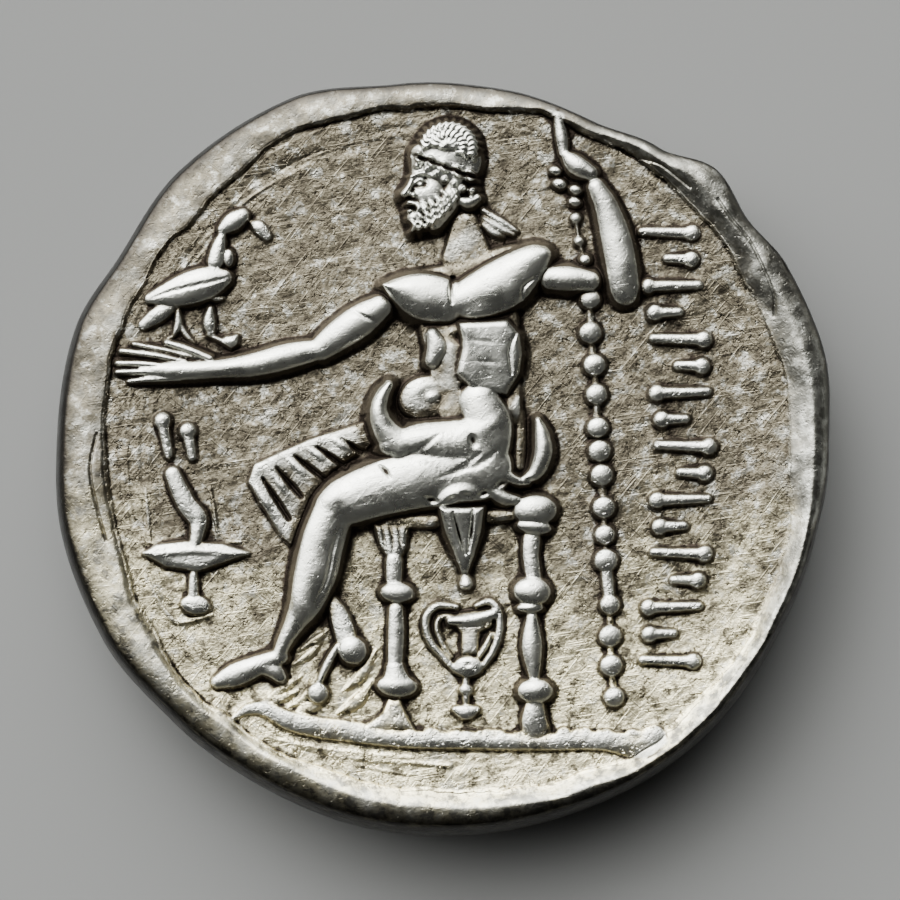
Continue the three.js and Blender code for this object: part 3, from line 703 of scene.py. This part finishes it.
def torch(die):
    S = SYMBOL
    die.ridge([
        (-275, -26, 7, 0.95), (-268, -42, 8.5, 1), (-260, -57, 9, 1), (-250, -70, 9, 1), (-250, -83, 7, 1),
        (-253, -98, 6, 1),
    ], high=S)
    die.patch(
        (
            (-304, -104), (-290, -96), (-262, -92), (-226, -95), (-200, -104), (-226, -114), (-250, -122),
            (-282, -117),
        ),
        0.95 * S,
    )
    die.ridge([(-292, -106, 3, 0.03), (-254, -102, 5, 0.06), (-216, -105, 3, 0.03)], how="add")
    die.forms(S, (
        ((-254, -126, 4, 0.7), (-254, -146, 5, 0.8)), (-252, -155, 14, 9, -8, 0.98),
    ))
    # The frame's faint outer lines.
    for rows in (((-302, -38), (-297, -94)), ((-238, -38), (-230, -88)), ((-318, -94), (-206, -93))):
        (x0, y0), (x1, y1) = rows
        die.ridge([(x0, y0, 1, 0.04), (0.5 * (x0 + x1), 0.5 * (y0 + y1), 1.8, 0.08), (x1, y1, 1, 0.04)])
    die.ridge([
        (-302, -128, 1.4, 0.05), (-278, -166, 2.4, 0.09), (-262, -172, 2.4, 0.09), (-236, -165, 1.4, 0.05),
    ])


def cup(die):
    S = SYMBOL
    die.forms(S, (
        (
            (6, -157, 2.6, 0.6), (-14, -156, 3.4, 0.7), (-25, -169, 3.6, 0.74), (-21, -190, 3.4, 0.72),
            (-8, -206, 3, 0.7), (4, -219, 3, 0.62),
        ),
        (
            (2, -166, 2, 0.45), (-10, -167, 2.4, 0.5), (-14, -178, 2.6, 0.52), (-8, -194, 2.4, 0.5),
            (0, -206, 2, 0.45),
        ),
        (
            (25, -156, 2.6, 0.62), (38, -152, 3.4, 0.7), (47, -162, 3.8, 0.74), (48, -180, 3.8, 0.74),
            (42, -200, 3.4, 0.7), (32, -215, 3, 0.62),
        ),
        ((40, -184, 2.5, 0.6), (34, -196, 3, 0.62), (28, -206, 2.5, 0.6)),
    ))
    die.patch(
        ((-4, -168), (8, -164), (44, -158), (40, -176), (28, -182), (26, -204), (11, -204), (11, -182)),
        0.7 * S,
    )
    die.forms(S, (
        ((0, -171, 4, 0.95), (22, -170, 6, 1.05), (42, -164, 5, 1.05)), (17, -216, 14, 10, 0, 0.98),
    ))
    die.oval(17, -214, 5, 3, 0, 0.07, how="cut")
    die.forms(S, (
        ((15, -228, 3.2, 0.6), (15, -250, 3.2, 0.6)), (15, -239, 6.5, 5.5, 0, 0.75),
        ((4, -258, 3, 0.7), (15, -261, 7, 0.85), (26, -258, 3, 0.7)),
    ))


def stroke(die, x, y, length, degrees):
    """One shallow stroke with a dot at its end."""
    dx, dy = 0.5 * length * math.cos(math.radians(degrees)), 0.5 * length * math.sin(math.radians(degrees))
    die.ridge([(x - dx, y - dy, 4, 0.85), (x, y, 4.6, 0.95), (x + dx, y + dy, 5.4, 1.05)], high=LEGEND)
    die.bead(x + dx, y + dy, 7.5, 1.2 * LEGEND)


def legend(die):
    """Where the inscription was: rows of plain strokes, long and short by turns, and two beside the torch."""
    rows = 17
    for i in range(rows):
        bow = 16 * math.sin(math.pi * i / (rows - 1))
        long_one = i % 2 == 0
        side = 1 if i % 4 < 2 else -1
        x, y = 214 + bow + (0 if long_one else 9 * side), 214 - 26.5 * i
        stroke(die, x, y, 50 if long_one else 24, -6 + 4 * side if side > 0 else 186 + 4 * side)
    for x, y, length in ((-282, 10, 34), (-258, 4, 26)):
        stroke(die, x, y, length, 100)


def back_rim():
    """The back's rim and dished field, as a height above the field's mean level, and where the rim is."""
    out = np.hypot(X, Y)
    turned = np.degrees(np.arctan2(Y, X))
    edge = out + EDGE - FROM_MIDDLE
    foot = np.minimum(round_table(RIM_FOOT, turned), edge - LEAST_RIM_WIDTH)
    foot = foot + 0.05 * grain(3, 1.0) + 0.02 * grain(4, 0.3)
    past = out - foot
    share = np.clip(past / (edge - foot), 0, 1)
    step = ease(np.clip(past / STEP_WIDTH, 0, 1))
    crest = round_table(RIM_CREST, turned)
    sharp = round_table(RIM_STEP, turned)
    up = ease(np.clip(share / crest, 0, 1))
    down = np.clip((share - 0.9 * crest) / (1 - 0.9 * crest), 0, 1)
    rim = RIM_HEIGHT * round_table(RIM_SHARE, turned) * (sharp * step + (1 - sharp) * up - down ** 2.3)
    dents = 0.022 * grain(5, 1.2) + 0.005 * grain(6, 0.4)
    dents += 0.012 * grain(17, 0.55) * np.clip(0.3 + np.cos(np.radians(turned - 20)), 0, 1)
    dish = DISH * (np.clip(out / FLAN_RADIUS, 0, 1) ** 2 - 0.5)
    to_the_right = np.clip(np.cos(np.radians(turned - 5)), 0, 1)
    dish += SWELL * ease(np.clip((past + SWELL_WIDTH) / SWELL_WIDTH, 0, 1)) * to_the_right
    # Lines that the metal left as it flowed out to the rim, strongest on the left.
    band = np.exp(-((past + FLOW_WIDTH) / FLOW_WIDTH) ** 2)
    lines = 0.013 * band * flow(7, 40, 170) * (0.3 + 0.7 * np.clip(-X / FLAN_RADIUS + 0.3, 0, 1))
    height = rim + (1 - down) * dish + step * dents + lines * (1 - step) + 0.007 * band * flow(8, 300, 14)
    return height, ease(np.clip(past / RIM_TONE_WIDTH, 0, 1))


def rim_cracks(die):
    """Fine cracks where the blank's edge tore as it was struck."""
    for rows in (
        ((150, 308), (182, 290), (204, 282), (222, 270), (236, 258)),
        ((262, 246), (280, 226), (294, 206), (306, 184), (318, 152), (322, 130)),
        ((-352, 14), (-354, -22), (-350, -60), (-340, -92)),
    ):
        jitter = np.random.default_rng(31).uniform(-2.5, 2.5, len(rows))
        die.ridge([(x + step, y, 1.6, 0.09) for (x, y), step in zip(rows, jitter)], how="add")


def draw_back():
    """The back's heights, its raised forms by themselves, and where the bare rim is."""
    middle = (FLAN_MIDDLE[0] + BACK_DIE_MIDDLE[0], FLAN_MIDDLE[1] + BACK_DIE_MIDDLE[1])
    die = Die(middle, BACK_DIE_RADIUS)
    legend(die)
    torch(die)
    cup(die)
    eagle(die)
    ground_line(die)
    sceptre(die)
    throne(die)
    god_trunk(die)
    god_arms(die)
    god_legs(die)
    god_cloak(die)
    god_head(die)
    raised = np.maximum(die.layer, 0)
    ground, on_rim = back_rim()
    height = np.maximum(ground, raised)
    cracks = Die(middle, BACK_DIE_RADIUS)
    cracks.layer[:] = 0
    rim_cracks(cracks)
    height = blur(height - cracks.layer, 0.02)
    lift = np.clip(raised / LIMB, 0, 1)
    height += 0.018 * grain(11, 2.6) + 0.006 * grain(15, 1.0) + 0.003 * flow(9, 150, 6)
    height += 0.003 * grain(12, 0.4) + 0.007 * lift * grain(16, 0.9)
    return height, raised, on_rim * (1 - lift)


# The front: a head in a lion's skin, worn flat.
SCALP = (-26, 34)
CHEEK = (44, -28)


def front_face(die):
    H = FRONT_HEAD
    x, y = CHEEK
    die.ridge([(x - 20, y - 60, 60, 0.6 * H), (x - 66, y - 186, 70, 0.5 * H)])
    profile_face(die, x + 68, y + 124, 62, 1, 0.95 * H)
    # The skin's edge, round the face and down behind the jaw.
    die.ridge([
        (x - 14, y + 146, 14, 0.9), (x - 66, y + 112, 14, 0.95), (x - 90, y + 48, 15, 0.97),
        (x - 86, y - 22, 13, 0.92), (x - 60, y - 76, 10, 0.78),
    ], high=H)


def lion_skin(die):
    H = FRONT_HEAD
    x, y = SCALP
    die.forms(H, (
        (x - 20, y, 142, 162, 0, 0.74), (x - 10, y, 112, 134, 0, 0.82),
    ))
    # The mane: rows of locks that lie back from the face.
    rows, locks = 3, 9
    for row in range(rows)[::-1]:
        for i in range(locks):
            angle = math.radians(104 + 170 * (i + 0.5 * (row % 2)) / locks)
            reach = 104 + 34 * row
            path = []
            for along, half, high in ((0, 10, 0.98), (26, 14, 0.94), (58, 6, 0.8)):
                lay = angle + 0.004 * along
                path.append((
                    x + (reach + along) * math.cos(lay), y + (reach + along) * math.sin(lay),
                    half + 1.5 * row, (high - 0.15 * row) * H,
                ))
            die.ridge(path)
            lay = angle + 0.08
            die.ridge([
                (x + (reach + 4) * math.cos(lay), y + (reach + 4) * math.sin(lay), 1.6, 0.05),
                (x + (reach + 44) * math.cos(lay + 0.1), y + (reach + 44) * math.sin(lay + 0.1), 1.6, 0.05),
            ], how="cut")
    # The upper jaw over the forehead, with its eye, its ear and its teeth.
    die.ridge([
        (x + 178, y + 62, 15, 0.6), (x + 148, y + 98, 28, 0.8), (x + 88, y + 138, 35, 0.96),
        (x + 12, y + 152, 30, 0.94),
    ], high=H)
    die.oval(x + 98, y + 128, 20, 12, -30, 0.24, how="cut")
    die.oval(x + 98, y + 128, 12, 7, -30, 0.26, how="add")
    die.oval(x - 4, y + 176, 38, 22, 20, 0.84 * H)
    die.oval(x - 4, y + 176, 26, 11, 20, 0.2, how="cut")
    for i in range(6):
        die.oval(x + 84 + 15 * i, y + 94 - 9 * i, 7, 5, 60, 0.86 * H)
    # The paws, knotted at the neck.
    kx, ky = CHEEK
    die.forms(H, (
        (kx + 4, ky - 150, 28, 22, 0, 0.74),
        ((kx + 14, ky - 152, 20, 0.58), (kx + 46, ky - 168, 18, 0.5), (kx + 74, ky - 178, 13, 0.36)),
        ((kx + 4, ky - 160, 19, 0.54), (kx + 12, ky - 194, 16, 0.44), (kx + 28, ky - 224, 12, 0.3)),
    ))


def draw_front():
    """The front's heights, as far down as its field is high, and its raised forms by themselves."""
    die = Die(FLAN_MIDDLE, FRONT_DIE_RADIUS, mirror=-1)
    lion_skin(die)
    front_face(die)
    raised = np.maximum(die.layer, 0)
    # The border of dots is worn down to a low swelling round the edge.
    inside = EDGE - FRONT_INSET
    swell = ease(np.clip((FROM_MIDDLE - 0.9 * inside) / (0.1 * inside), 0, 1))
    height = blur(np.maximum(raised, BORDER_HEIGHT * swell), 0.03)
    lift = np.clip(raised / FRONT_HEAD, 0, 1)
    height += 0.014 * grain(41, 2.2) + (0.004 + 0.008 * lift) * grain(42, 0.45)
    # What stands highest is worn down to one flat, on which the coin rests.
    rest = FRONT_FIELD_Z - 0.004
    soft = 0.05
    knee = rest - soft
    height = np.where(height > knee, knee + soft * np.tanh((height - rest + soft) / soft), height)
    return np.minimum(height, FRONT_FIELD_Z), raised


back_height, back_raised, back_on_rim = draw_back()
front_height, front_raised = draw_front()


def disc(cells):
    """A square net drawn in to a round one: shares of the radius, directions, quads and the outer ring."""
    line = np.linspace(-1, 1, cells + 1)
    u, v = np.meshgrid(line, line)
    share = np.maximum(np.abs(u), np.abs(v))
    degrees = np.degrees(np.arctan2(v, u))
    n = cells + 1
    corner = (np.arange(cells)[:, None] * n + np.arange(cells)[None, :]).ravel()
    quads = np.stack([corner, corner + 1, corner + n + 1, corner + n], axis=1)
    side = np.arange(cells)
    ring = np.concatenate([side, side * n + cells, n * n - 1 - side, (cells - side) * n])
    return share.ravel(), degrees.ravel(), quads, ring


def round_points(radius, degrees, z):
    x = FLAN_MIDDLE[0] + radius * np.cos(np.radians(degrees))
    y = FLAN_MIDDLE[1] + radius * np.sin(np.radians(degrees))
    return np.stack([x, y, z], axis=1)


def coin_shape():
    """The coin's points and quads: the back's net, the front's, and the rows of the edge between them."""
    share, degrees, quads, ring = disc(DISC_CELLS)
    edge = flan_radius(degrees)
    back_radius = edge - round_table(SHOULDER, degrees)
    front_radius = edge - FRONT_INSET
    top = round_points(share * back_radius, degrees, 0 * share)
    top[:, 2] = BACK_FIELD_Z + sample(back_height, top[:, 0], top[:, 1])
    low = round_points(share * front_radius, degrees, 0 * share)
    low[:, 2] = FRONT_FIELD_Z - sample(front_height, low[:, 0], low[:, 1])
    edge_lines = np.random.default_rng(51).uniform(-1, 1, EDGE_ROWS)
    rows = []
    for t in np.arange(1, EDGE_ROWS) / EDGE_ROWS:
        straight = (1 - t) * back_radius[ring] + t * front_radius[ring]
        radius = straight + math.sin(math.pi * t) ** 0.7 * (edge[ring] - straight)
        z = (1 - t) * top[ring, 2] + t * low[ring, 2]
        radius = radius - 0.02 * edge_lines[len(rows)]
        rows.append(round_points(radius, degrees[ring], z))
    count, around = len(top), len(ring)
    rings = [ring] + [2 * count + k * around + np.arange(around) for k in range(len(rows))] + [count + ring]
    faces = [quads, count + quads[:, ::-1]]
    for a, b in zip(rings[:-1], rings[1:]):
        faces.append(np.stack([a, b, np.roll(b, -1), np.roll(a, -1)], axis=1))
    return np.vstack([top, low, *rows]), np.vstack(faces)


def thin_out(coin, faces_left):
    """Takes away the faces that the shape needs least."""
    thin = coin.modifiers.new("thin", "DECIMATE")
    thin.ratio = faces_left / (2 * len(coin.data.polygons))
    lean = bpy.data.meshes.new_from_object(coin.evaluated_get(bpy.context.evaluated_depsgraph_get()))
    coin.modifiers.clear()
    full = coin.data
    coin.data = lean
    bpy.data.meshes.remove(full)
    lean.polygons.foreach_set("use_smooth", np.ones(len(lean.polygons), bool))


def normals_from(field, up, x, y):
    """The true slope of a face at some of its points, for the mesh's shading."""
    slope_y, slope_x = np.gradient(field, PITCH)
    normal = np.stack([-sample(slope_x, x, y), -sample(slope_y, x, y), np.full(len(x), float(up))], axis=1)
    return normal / np.linalg.norm(normal, axis=1)[:, None]


def vectors(items, name):
    values = np.empty(3 * len(items), np.float32)
    items.foreach_get(name, values)
    return values.reshape(-1, 3).astype(float)


def shade_and_tone(coin):
    """Gives the mesh the fields' true normals, and the values that its metal is painted by."""
    mesh = coin.data
    x, y, z = (vectors(mesh.vertices, "co") / MM).T
    normal = vectors(mesh.vertex_normals, "vector")
    degrees = np.degrees(np.arctan2(y - FLAN_MIDDLE[1], x - FLAN_MIDDLE[0]))
    out = np.hypot(x - FLAN_MIDDLE[0], y - FLAN_MIDDLE[1])
    edge = flan_radius(degrees)
    on_back = (out < edge - round_table(SHOULDER, degrees) - 0.04) & (z > BACK_FIELD_Z - 0.3)
    on_front = (out < edge - FRONT_INSET - 0.04) & (z < FRONT_FIELD_Z + 0.1)
    normal[on_back] = normals_from(back_height, 1, x[on_back], y[on_back])
    normal[on_front] = normals_from(front_height, -1, x[on_front], y[on_front])
    mesh.normals_split_custom_set_from_vertices(normal)

    # side is where the metal is painted near black as shade: all of the coin's edge, and on the back a band
    # in from the outline.
    side = 1.0 - np.clip(on_back.astype(float) + on_front, 0, 1)
    reach = round_table(EDGE_SHADE_REACH, degrees)
    side[on_back] = ease(np.clip((out - edge + reach) / (0.75 * reach), 0, 1))[on_back]
    values = {"cavity": 0 * x, "basin": 0 * x, "slope": 0 * x, "level": 0 * x, "rim": 1 + 0 * x, "side": side}
    values["rim"][on_front] = 0
    values["rim"][on_back] = sample(back_on_rim, x[on_back], y[on_back])
    for here, height, raised in ((on_back, back_height, back_raised), (on_front, front_height, front_raised)):
        smooth = blur(height, 0.03)
        carved = blur(np.minimum(raised, height.max()), 0.03)
        fields = {
            "cavity": (blur(height, 0.1) - smooth) / 0.05,
            "basin": (blur(carved, 0.35) - carved) / 0.15,
            "slope": np.hypot(*np.gradient(carved, PITCH)),
            "level": smooth / FIGURE,
        }
        for name, field in fields.items():
            values[name][here] = sample(field, x[here], y[here])
    for name, value in values.items():
        attribute = mesh.attributes.new(name, "FLOAT", "POINT")
        attribute.data.foreach_set("value", value.astype(np.float32))


def build_coin():
    points, faces = coin_shape()
    mesh = bpy.data.meshes.new("coin_full")
    mesh.vertices.add(len(points))
    mesh.vertices.foreach_set("co", (points * MM).astype(np.float32).ravel())
    mesh.loops.add(faces.size)
    mesh.loops.foreach_set("vertex_index", faces.astype(np.int32).ravel())
    mesh.polygons.add(len(faces))
    mesh.polygons.foreach_set("loop_start", np.arange(0, faces.size, 4, dtype=np.int32))
    mesh.update(calc_edges=True)
    coin = bpy.data.objects.new("coin_relief", mesh)
    bpy.context.scene.collection.objects.link(coin)
    thin_out(coin, FACE_LIMIT)
    coin.data.name = "coin_relief"
    shade_and_tone(coin)
    return coin


coin = build_coin()


class Nodes:
    """Short hands for building the nodes of a material or of the world."""

    def __init__(self, owner, shader):
        owner.use_nodes = True
        self.tree = owner.node_tree
        self.shader = self.tree.nodes[shader]

    def link(self, value, socket):
        if isinstance(value, bpy.types.NodeSocket):
            self.tree.links.new(value, socket)
        elif isinstance(value, (tuple, list)) and len(value) == 3 and socket.type == "RGBA":
            socket.default_value = (*value, 1)
        else:
            socket.default_value = value

    def new(self, kind, inputs=None):
        """A new node, with what goes into it linked or set."""
        node = self.tree.nodes.new("ShaderNode" + kind)
        for name, value in (inputs or {}).items():
            self.link(value, node.inputs[name])
        return node

    def attribute(self, name):
        node = self.new("Attribute")
        node.attribute_name = name
        return node.outputs["Fac"]

    def math(self, operation, a, b):
        node = self.new("Math", {0: a, 1: b})
        node.operation = operation
        return node.outputs[0]

    def plus(self, a, b):
        return self.math("ADD", a, b)

    def times(self, a, b):
        return self.math("MULTIPLY", a, b)

    def swing(self, noise, size):
        """Noise that swings about zero, times a size."""
        return self.times(self.math("SUBTRACT", noise, 0.5), size)

    def span(self, value, low, high, to_low=0.0, to_high=1.0):
        node = self.new("MapRange", {
            "Value": value, "From Min": low, "From Max": high, "To Min": to_low, "To Max": to_high,
        })
        node.interpolation_type = "SMOOTHSTEP"
        return node.outputs["Result"]

    def mix(self, share, a, b):
        node = self.new("Mix")
        node.data_type = "RGBA"
        self.link(share, node.inputs["Factor"])
        self.link(a, node.inputs["A"])
        self.link(b, node.inputs["B"])
        return node.outputs["Result"]

    def where(self, axis):
        """Where on the object a point is, along one axis, in millimetres."""
        parts = self.new("SeparateXYZ", {"Vector": self.new("TexCoord").outputs["Object"]})
        return self.times(parts.outputs[axis], 1 / MM)

    def place(self, scale=(1, 1, 1), turn=0.0):
        """Places on the object for noise, drawn out by scale and turned about the upright axis."""
        mapping = self.new("Mapping", {"Vector": self.new("TexCoord").outputs["Object"]})
        mapping.vector_type = "TEXTURE"
        mapping.inputs["Scale"].default_value = scale
        mapping.inputs["Rotation"].default_value = (0, 0, turn)
        return mapping.outputs["Vector"]

    def noise(self, place, size, detail=4, roughness=0.6):
        """Noise whose lumps are about size across, in millimetres."""
        node = self.new("TexNoise", {
            "Vector": place, "Scale": 1 / (size * MM), "Detail": detail, "Roughness": roughness,
        })
        return node.outputs["Fac"]

    def bump(self, height, strength, depth, normal=None):
        """Shading for a height of up to depth, in millimetres, on top of another bump."""
        node = self.new("Bump", {"Strength": strength, "Distance": depth * MM, "Height": height})
        if normal is not None:
            self.link(normal, node.inputs["Normal"])
        return node.outputs["Normal"]


def worn_silver():
    """Silver that is bright where it wears, warm grey on the field and near black in the creases, with
    painted light: a field paler below and darker above, and painted shade on the rim's right and on the edge.
    """
    material = bpy.data.materials.new("worn_silver")
    n = Nodes(material, "Principled BSDF")
    here = n.place()
    cavity = n.attribute("cavity")
    basin = n.attribute("basin")
    slope = n.attribute("slope")
    level = n.attribute("level")
    side = n.attribute("side")
    rim = n.attribute("rim")
    cloud = n.noise(here, size=3.0)
    patchy = n.noise(here, size=0.7)
    mottle = n.noise(here, size=0.5, detail=5, roughness=0.7)
    fine = n.noise(here, size=0.22)

    bright = (0.66, 0.67, 0.615)
    field_pale_lit = (0.95, 0.87, 0.58)
    field_brown_shaded = (0.165, 0.147, 0.107)
    dull = (0.07, 0.061, 0.045)
    rim_grey_and_shade = (0.17, 0.168, 0.148)
    brown = (0.07, 0.059, 0.044)
    painted_edge_shade = (0.02, 0.018, 0.016)
    black = (0.018, 0.014, 0.011)

    # Painted light: the field is paler and yellower towards the ground line, where it is lit, and darker and
    # browner above, in painted shade; the hue is its toning. It is mottled all over.
    along = n.plus(n.where("Y"), n.swing(cloud, 14))
    field = n.mix(n.span(along, -9.5, -1.5), field_pale_lit, field_brown_shaded)
    field = n.mix(n.span(mottle, 0.49, 0.62, 0, 0.9), field, dull)
    # Pale flecks of worn metal, painted bright to stand in for glints.
    field = n.mix(n.span(mottle, 0.47, 0.34, 0, 0.55), field, bright)
    # What stands up is worn bright. The rim is duller in mottled patches, and painted shade darkens it more
    # towards the right, away from the light.
    worn = n.plus(n.times(level, 0.6), n.times(basin, -0.45))
    worn = n.span(n.plus(worn, n.swing(patchy, 0.6)), 0.08, 0.5)
    colour = n.mix(worn, field, bright)
    rim_dullness_and_shade = n.times(n.span(mottle, 0.4, 0.58, 0.2, 0.9), n.span(n.where("X"), -9, 9, 0.3, 1))
    colour = n.mix(n.times(rim, rim_dullness_and_shade), colour, rim_grey_and_shade)
    # Grime lies on slopes and beside forms, and black in the creases.
    grime = n.plus(n.times(slope, 0.55), n.times(basin, 0.3))
    grime = n.plus(grime, n.swing(fine, 0.6))
    colour = n.mix(n.span(grime, 0.45, 1.0), colour, brown)
    # Painted shade: the coin's edge and the back's outer slope are darkened to near black, in streaks,
    # fainter low down.
    streaks = n.noise(n.place(scale=(5, 5, 1)), size=0.12, detail=2)
    edge_shade_streaks = n.times(n.span(streaks, 0.3, 0.6, 0.93, 1), n.span(n.where("Z"), 1.4, 2.8, 0.6, 1))
    colour = n.mix(n.times(side, edge_shade_streaks), colour, painted_edge_shade)
    crease = n.plus(cavity, n.swing(fine, 0.9))
    colour = n.mix(n.span(crease, 0.3, 0.9), colour, black)
    n.link(colour, n.shader.inputs["Base Color"])
    n.shader.inputs["Metallic"].default_value = 1.0
    rough = n.plus(n.span(patchy, 0.3, 0.7, 0.24, 0.34), n.times(n.span(grime, 0.3, 0.9), 0.25))
    matt = n.times(n.math("SUBTRACT", 1.0, worn), 0.05)
    n.link(n.plus(rough, matt), n.shader.inputs["Roughness"])

    # Fine scratches every way, small pits and the grain of worn metal, all fainter on what is raised.
    raised = n.math("MAXIMUM", level, rim)
    scratches = 0.0
    for turn, size in ((0.15, 0.07), (0.9, 0.09), (-0.7, 0.08), (2.2, 0.07)):
        streak = n.noise(n.place(scale=(24, 1, 1), turn=turn), size, detail=1)
        scratches = n.plus(scratches, n.span(streak, 0.62, 0.76))
    scratches = n.times(scratches, n.span(raised, 0.1, 0.5, 1, 0.3))
    normal = n.bump(scratches, strength=0.9, depth=0.009)
    pits = n.span(n.noise(here, size=0.2, detail=2), 0.28, 0.4)
    pits = n.times(pits, n.span(raised, 0.1, 0.5, 1, 0.15))
    normal = n.bump(pits, strength=0.9, depth=0.04, normal=normal)
    worn_smooth = n.span(raised, 0.15, 0.6, 1.0, 0.42)
    coarse = n.times(n.noise(here, size=0.1, detail=3), n.span(patchy, 0.38, 0.62, 0.5, 1.2))
    normal = n.bump(n.times(coarse, worn_smooth), strength=0.8, depth=0.027, normal=normal)
    hammered = n.noise(n.place(scale=(1.8, 1, 1), turn=0.4), size=0.42, detail=2, roughness=0.45)
    normal = n.bump(n.times(hammered, worn_smooth), strength=0.8, depth=0.05, normal=normal)
    n.link(normal, n.shader.inputs["Normal"])
    return material


coin.data.materials.clear()
coin.data.materials.append(worn_silver())
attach(coin, "root")
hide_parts(BLANK)


# The table, the light and the camera.
TABLE_SIZE = 1.2
TABLE_COLOUR = (0.158, 0.162, 0.161, 1)
KEY_PLACE = Vector((-0.1, 0.22, 0.24))
KEY_POWER = 0.4
KEY_SIZE = 0.14
SKY_LIGHT_FROM = Vector((-0.38, 0.75, 0.38))
SKY_COLOUR = (1, 0.995, 0.965, 1)
SKY_DARK = 0.05
SKY_BRIGHT = 10.0

bpy.ops.mesh.primitive_plane_add(size=TABLE_SIZE, location=(0, 0, 0))
table = bpy.context.object
table.name = "table"
card = bpy.data.materials.new("pale_card")
shader = Nodes(card, "Principled BSDF").shader
shader.inputs["Base Color"].default_value = TABLE_COLOUR
shader.inputs["Roughness"].default_value = 0.9
table.data.materials.append(card)

light = bpy.data.lights.new("key", "AREA")
light.energy = KEY_POWER
light.size = KEY_SIZE
lamp = bpy.data.objects.new("key", light)
lamp.location = KEY_PLACE
lamp.rotation_euler = (-KEY_PLACE).to_track_quat("-Z", "Y").to_euler()
bpy.context.scene.collection.objects.link(lamp)


def studio_world():
    """A room that is bright beyond the coin's top and to the left, and dark all round."""
    world = bpy.data.worlds.new("studio")
    n = Nodes(world, "Background")
    toward = n.new("VectorMath", {0: n.new("TexCoord").outputs["Generated"], 1: SKY_LIGHT_FROM.normalized()})
    toward.operation = "DOT_PRODUCT"
    glow = n.span(toward.outputs["Value"], 0.38, 1.0, SKY_DARK, SKY_BRIGHT)
    n.shader.inputs["Color"].default_value = SKY_COLOUR
    n.link(glow, n.shader.inputs["Strength"])
    return world


bpy.context.scene.world = studio_world()

VIEW_WIDTH = 30.7 * MM
VIEW_MIDDLE = (0.24 * MM, 0.2 * MM, BACK_FIELD_Z * MM)
TILT = 3.0
FOCAL = 180
SENSOR = 36
distance = VIEW_WIDTH * FOCAL / SENSOR
camera = bpy.data.cameras.new("camera")
camera.lens = FOCAL
camera.sensor_width = SENSOR
camera.clip_start = 0.01
view = bpy.data.objects.new("camera", camera)
view.location = (
    VIEW_MIDDLE[0], VIEW_MIDDLE[1] - distance * math.sin(math.radians(TILT)),
    VIEW_MIDDLE[2] + distance * math.cos(math.radians(TILT)),
)
view.rotation_euler = (math.radians(TILT), 0, 0)
bpy.context.scene.collection.objects.link(view)
bpy.context.scene.camera = view
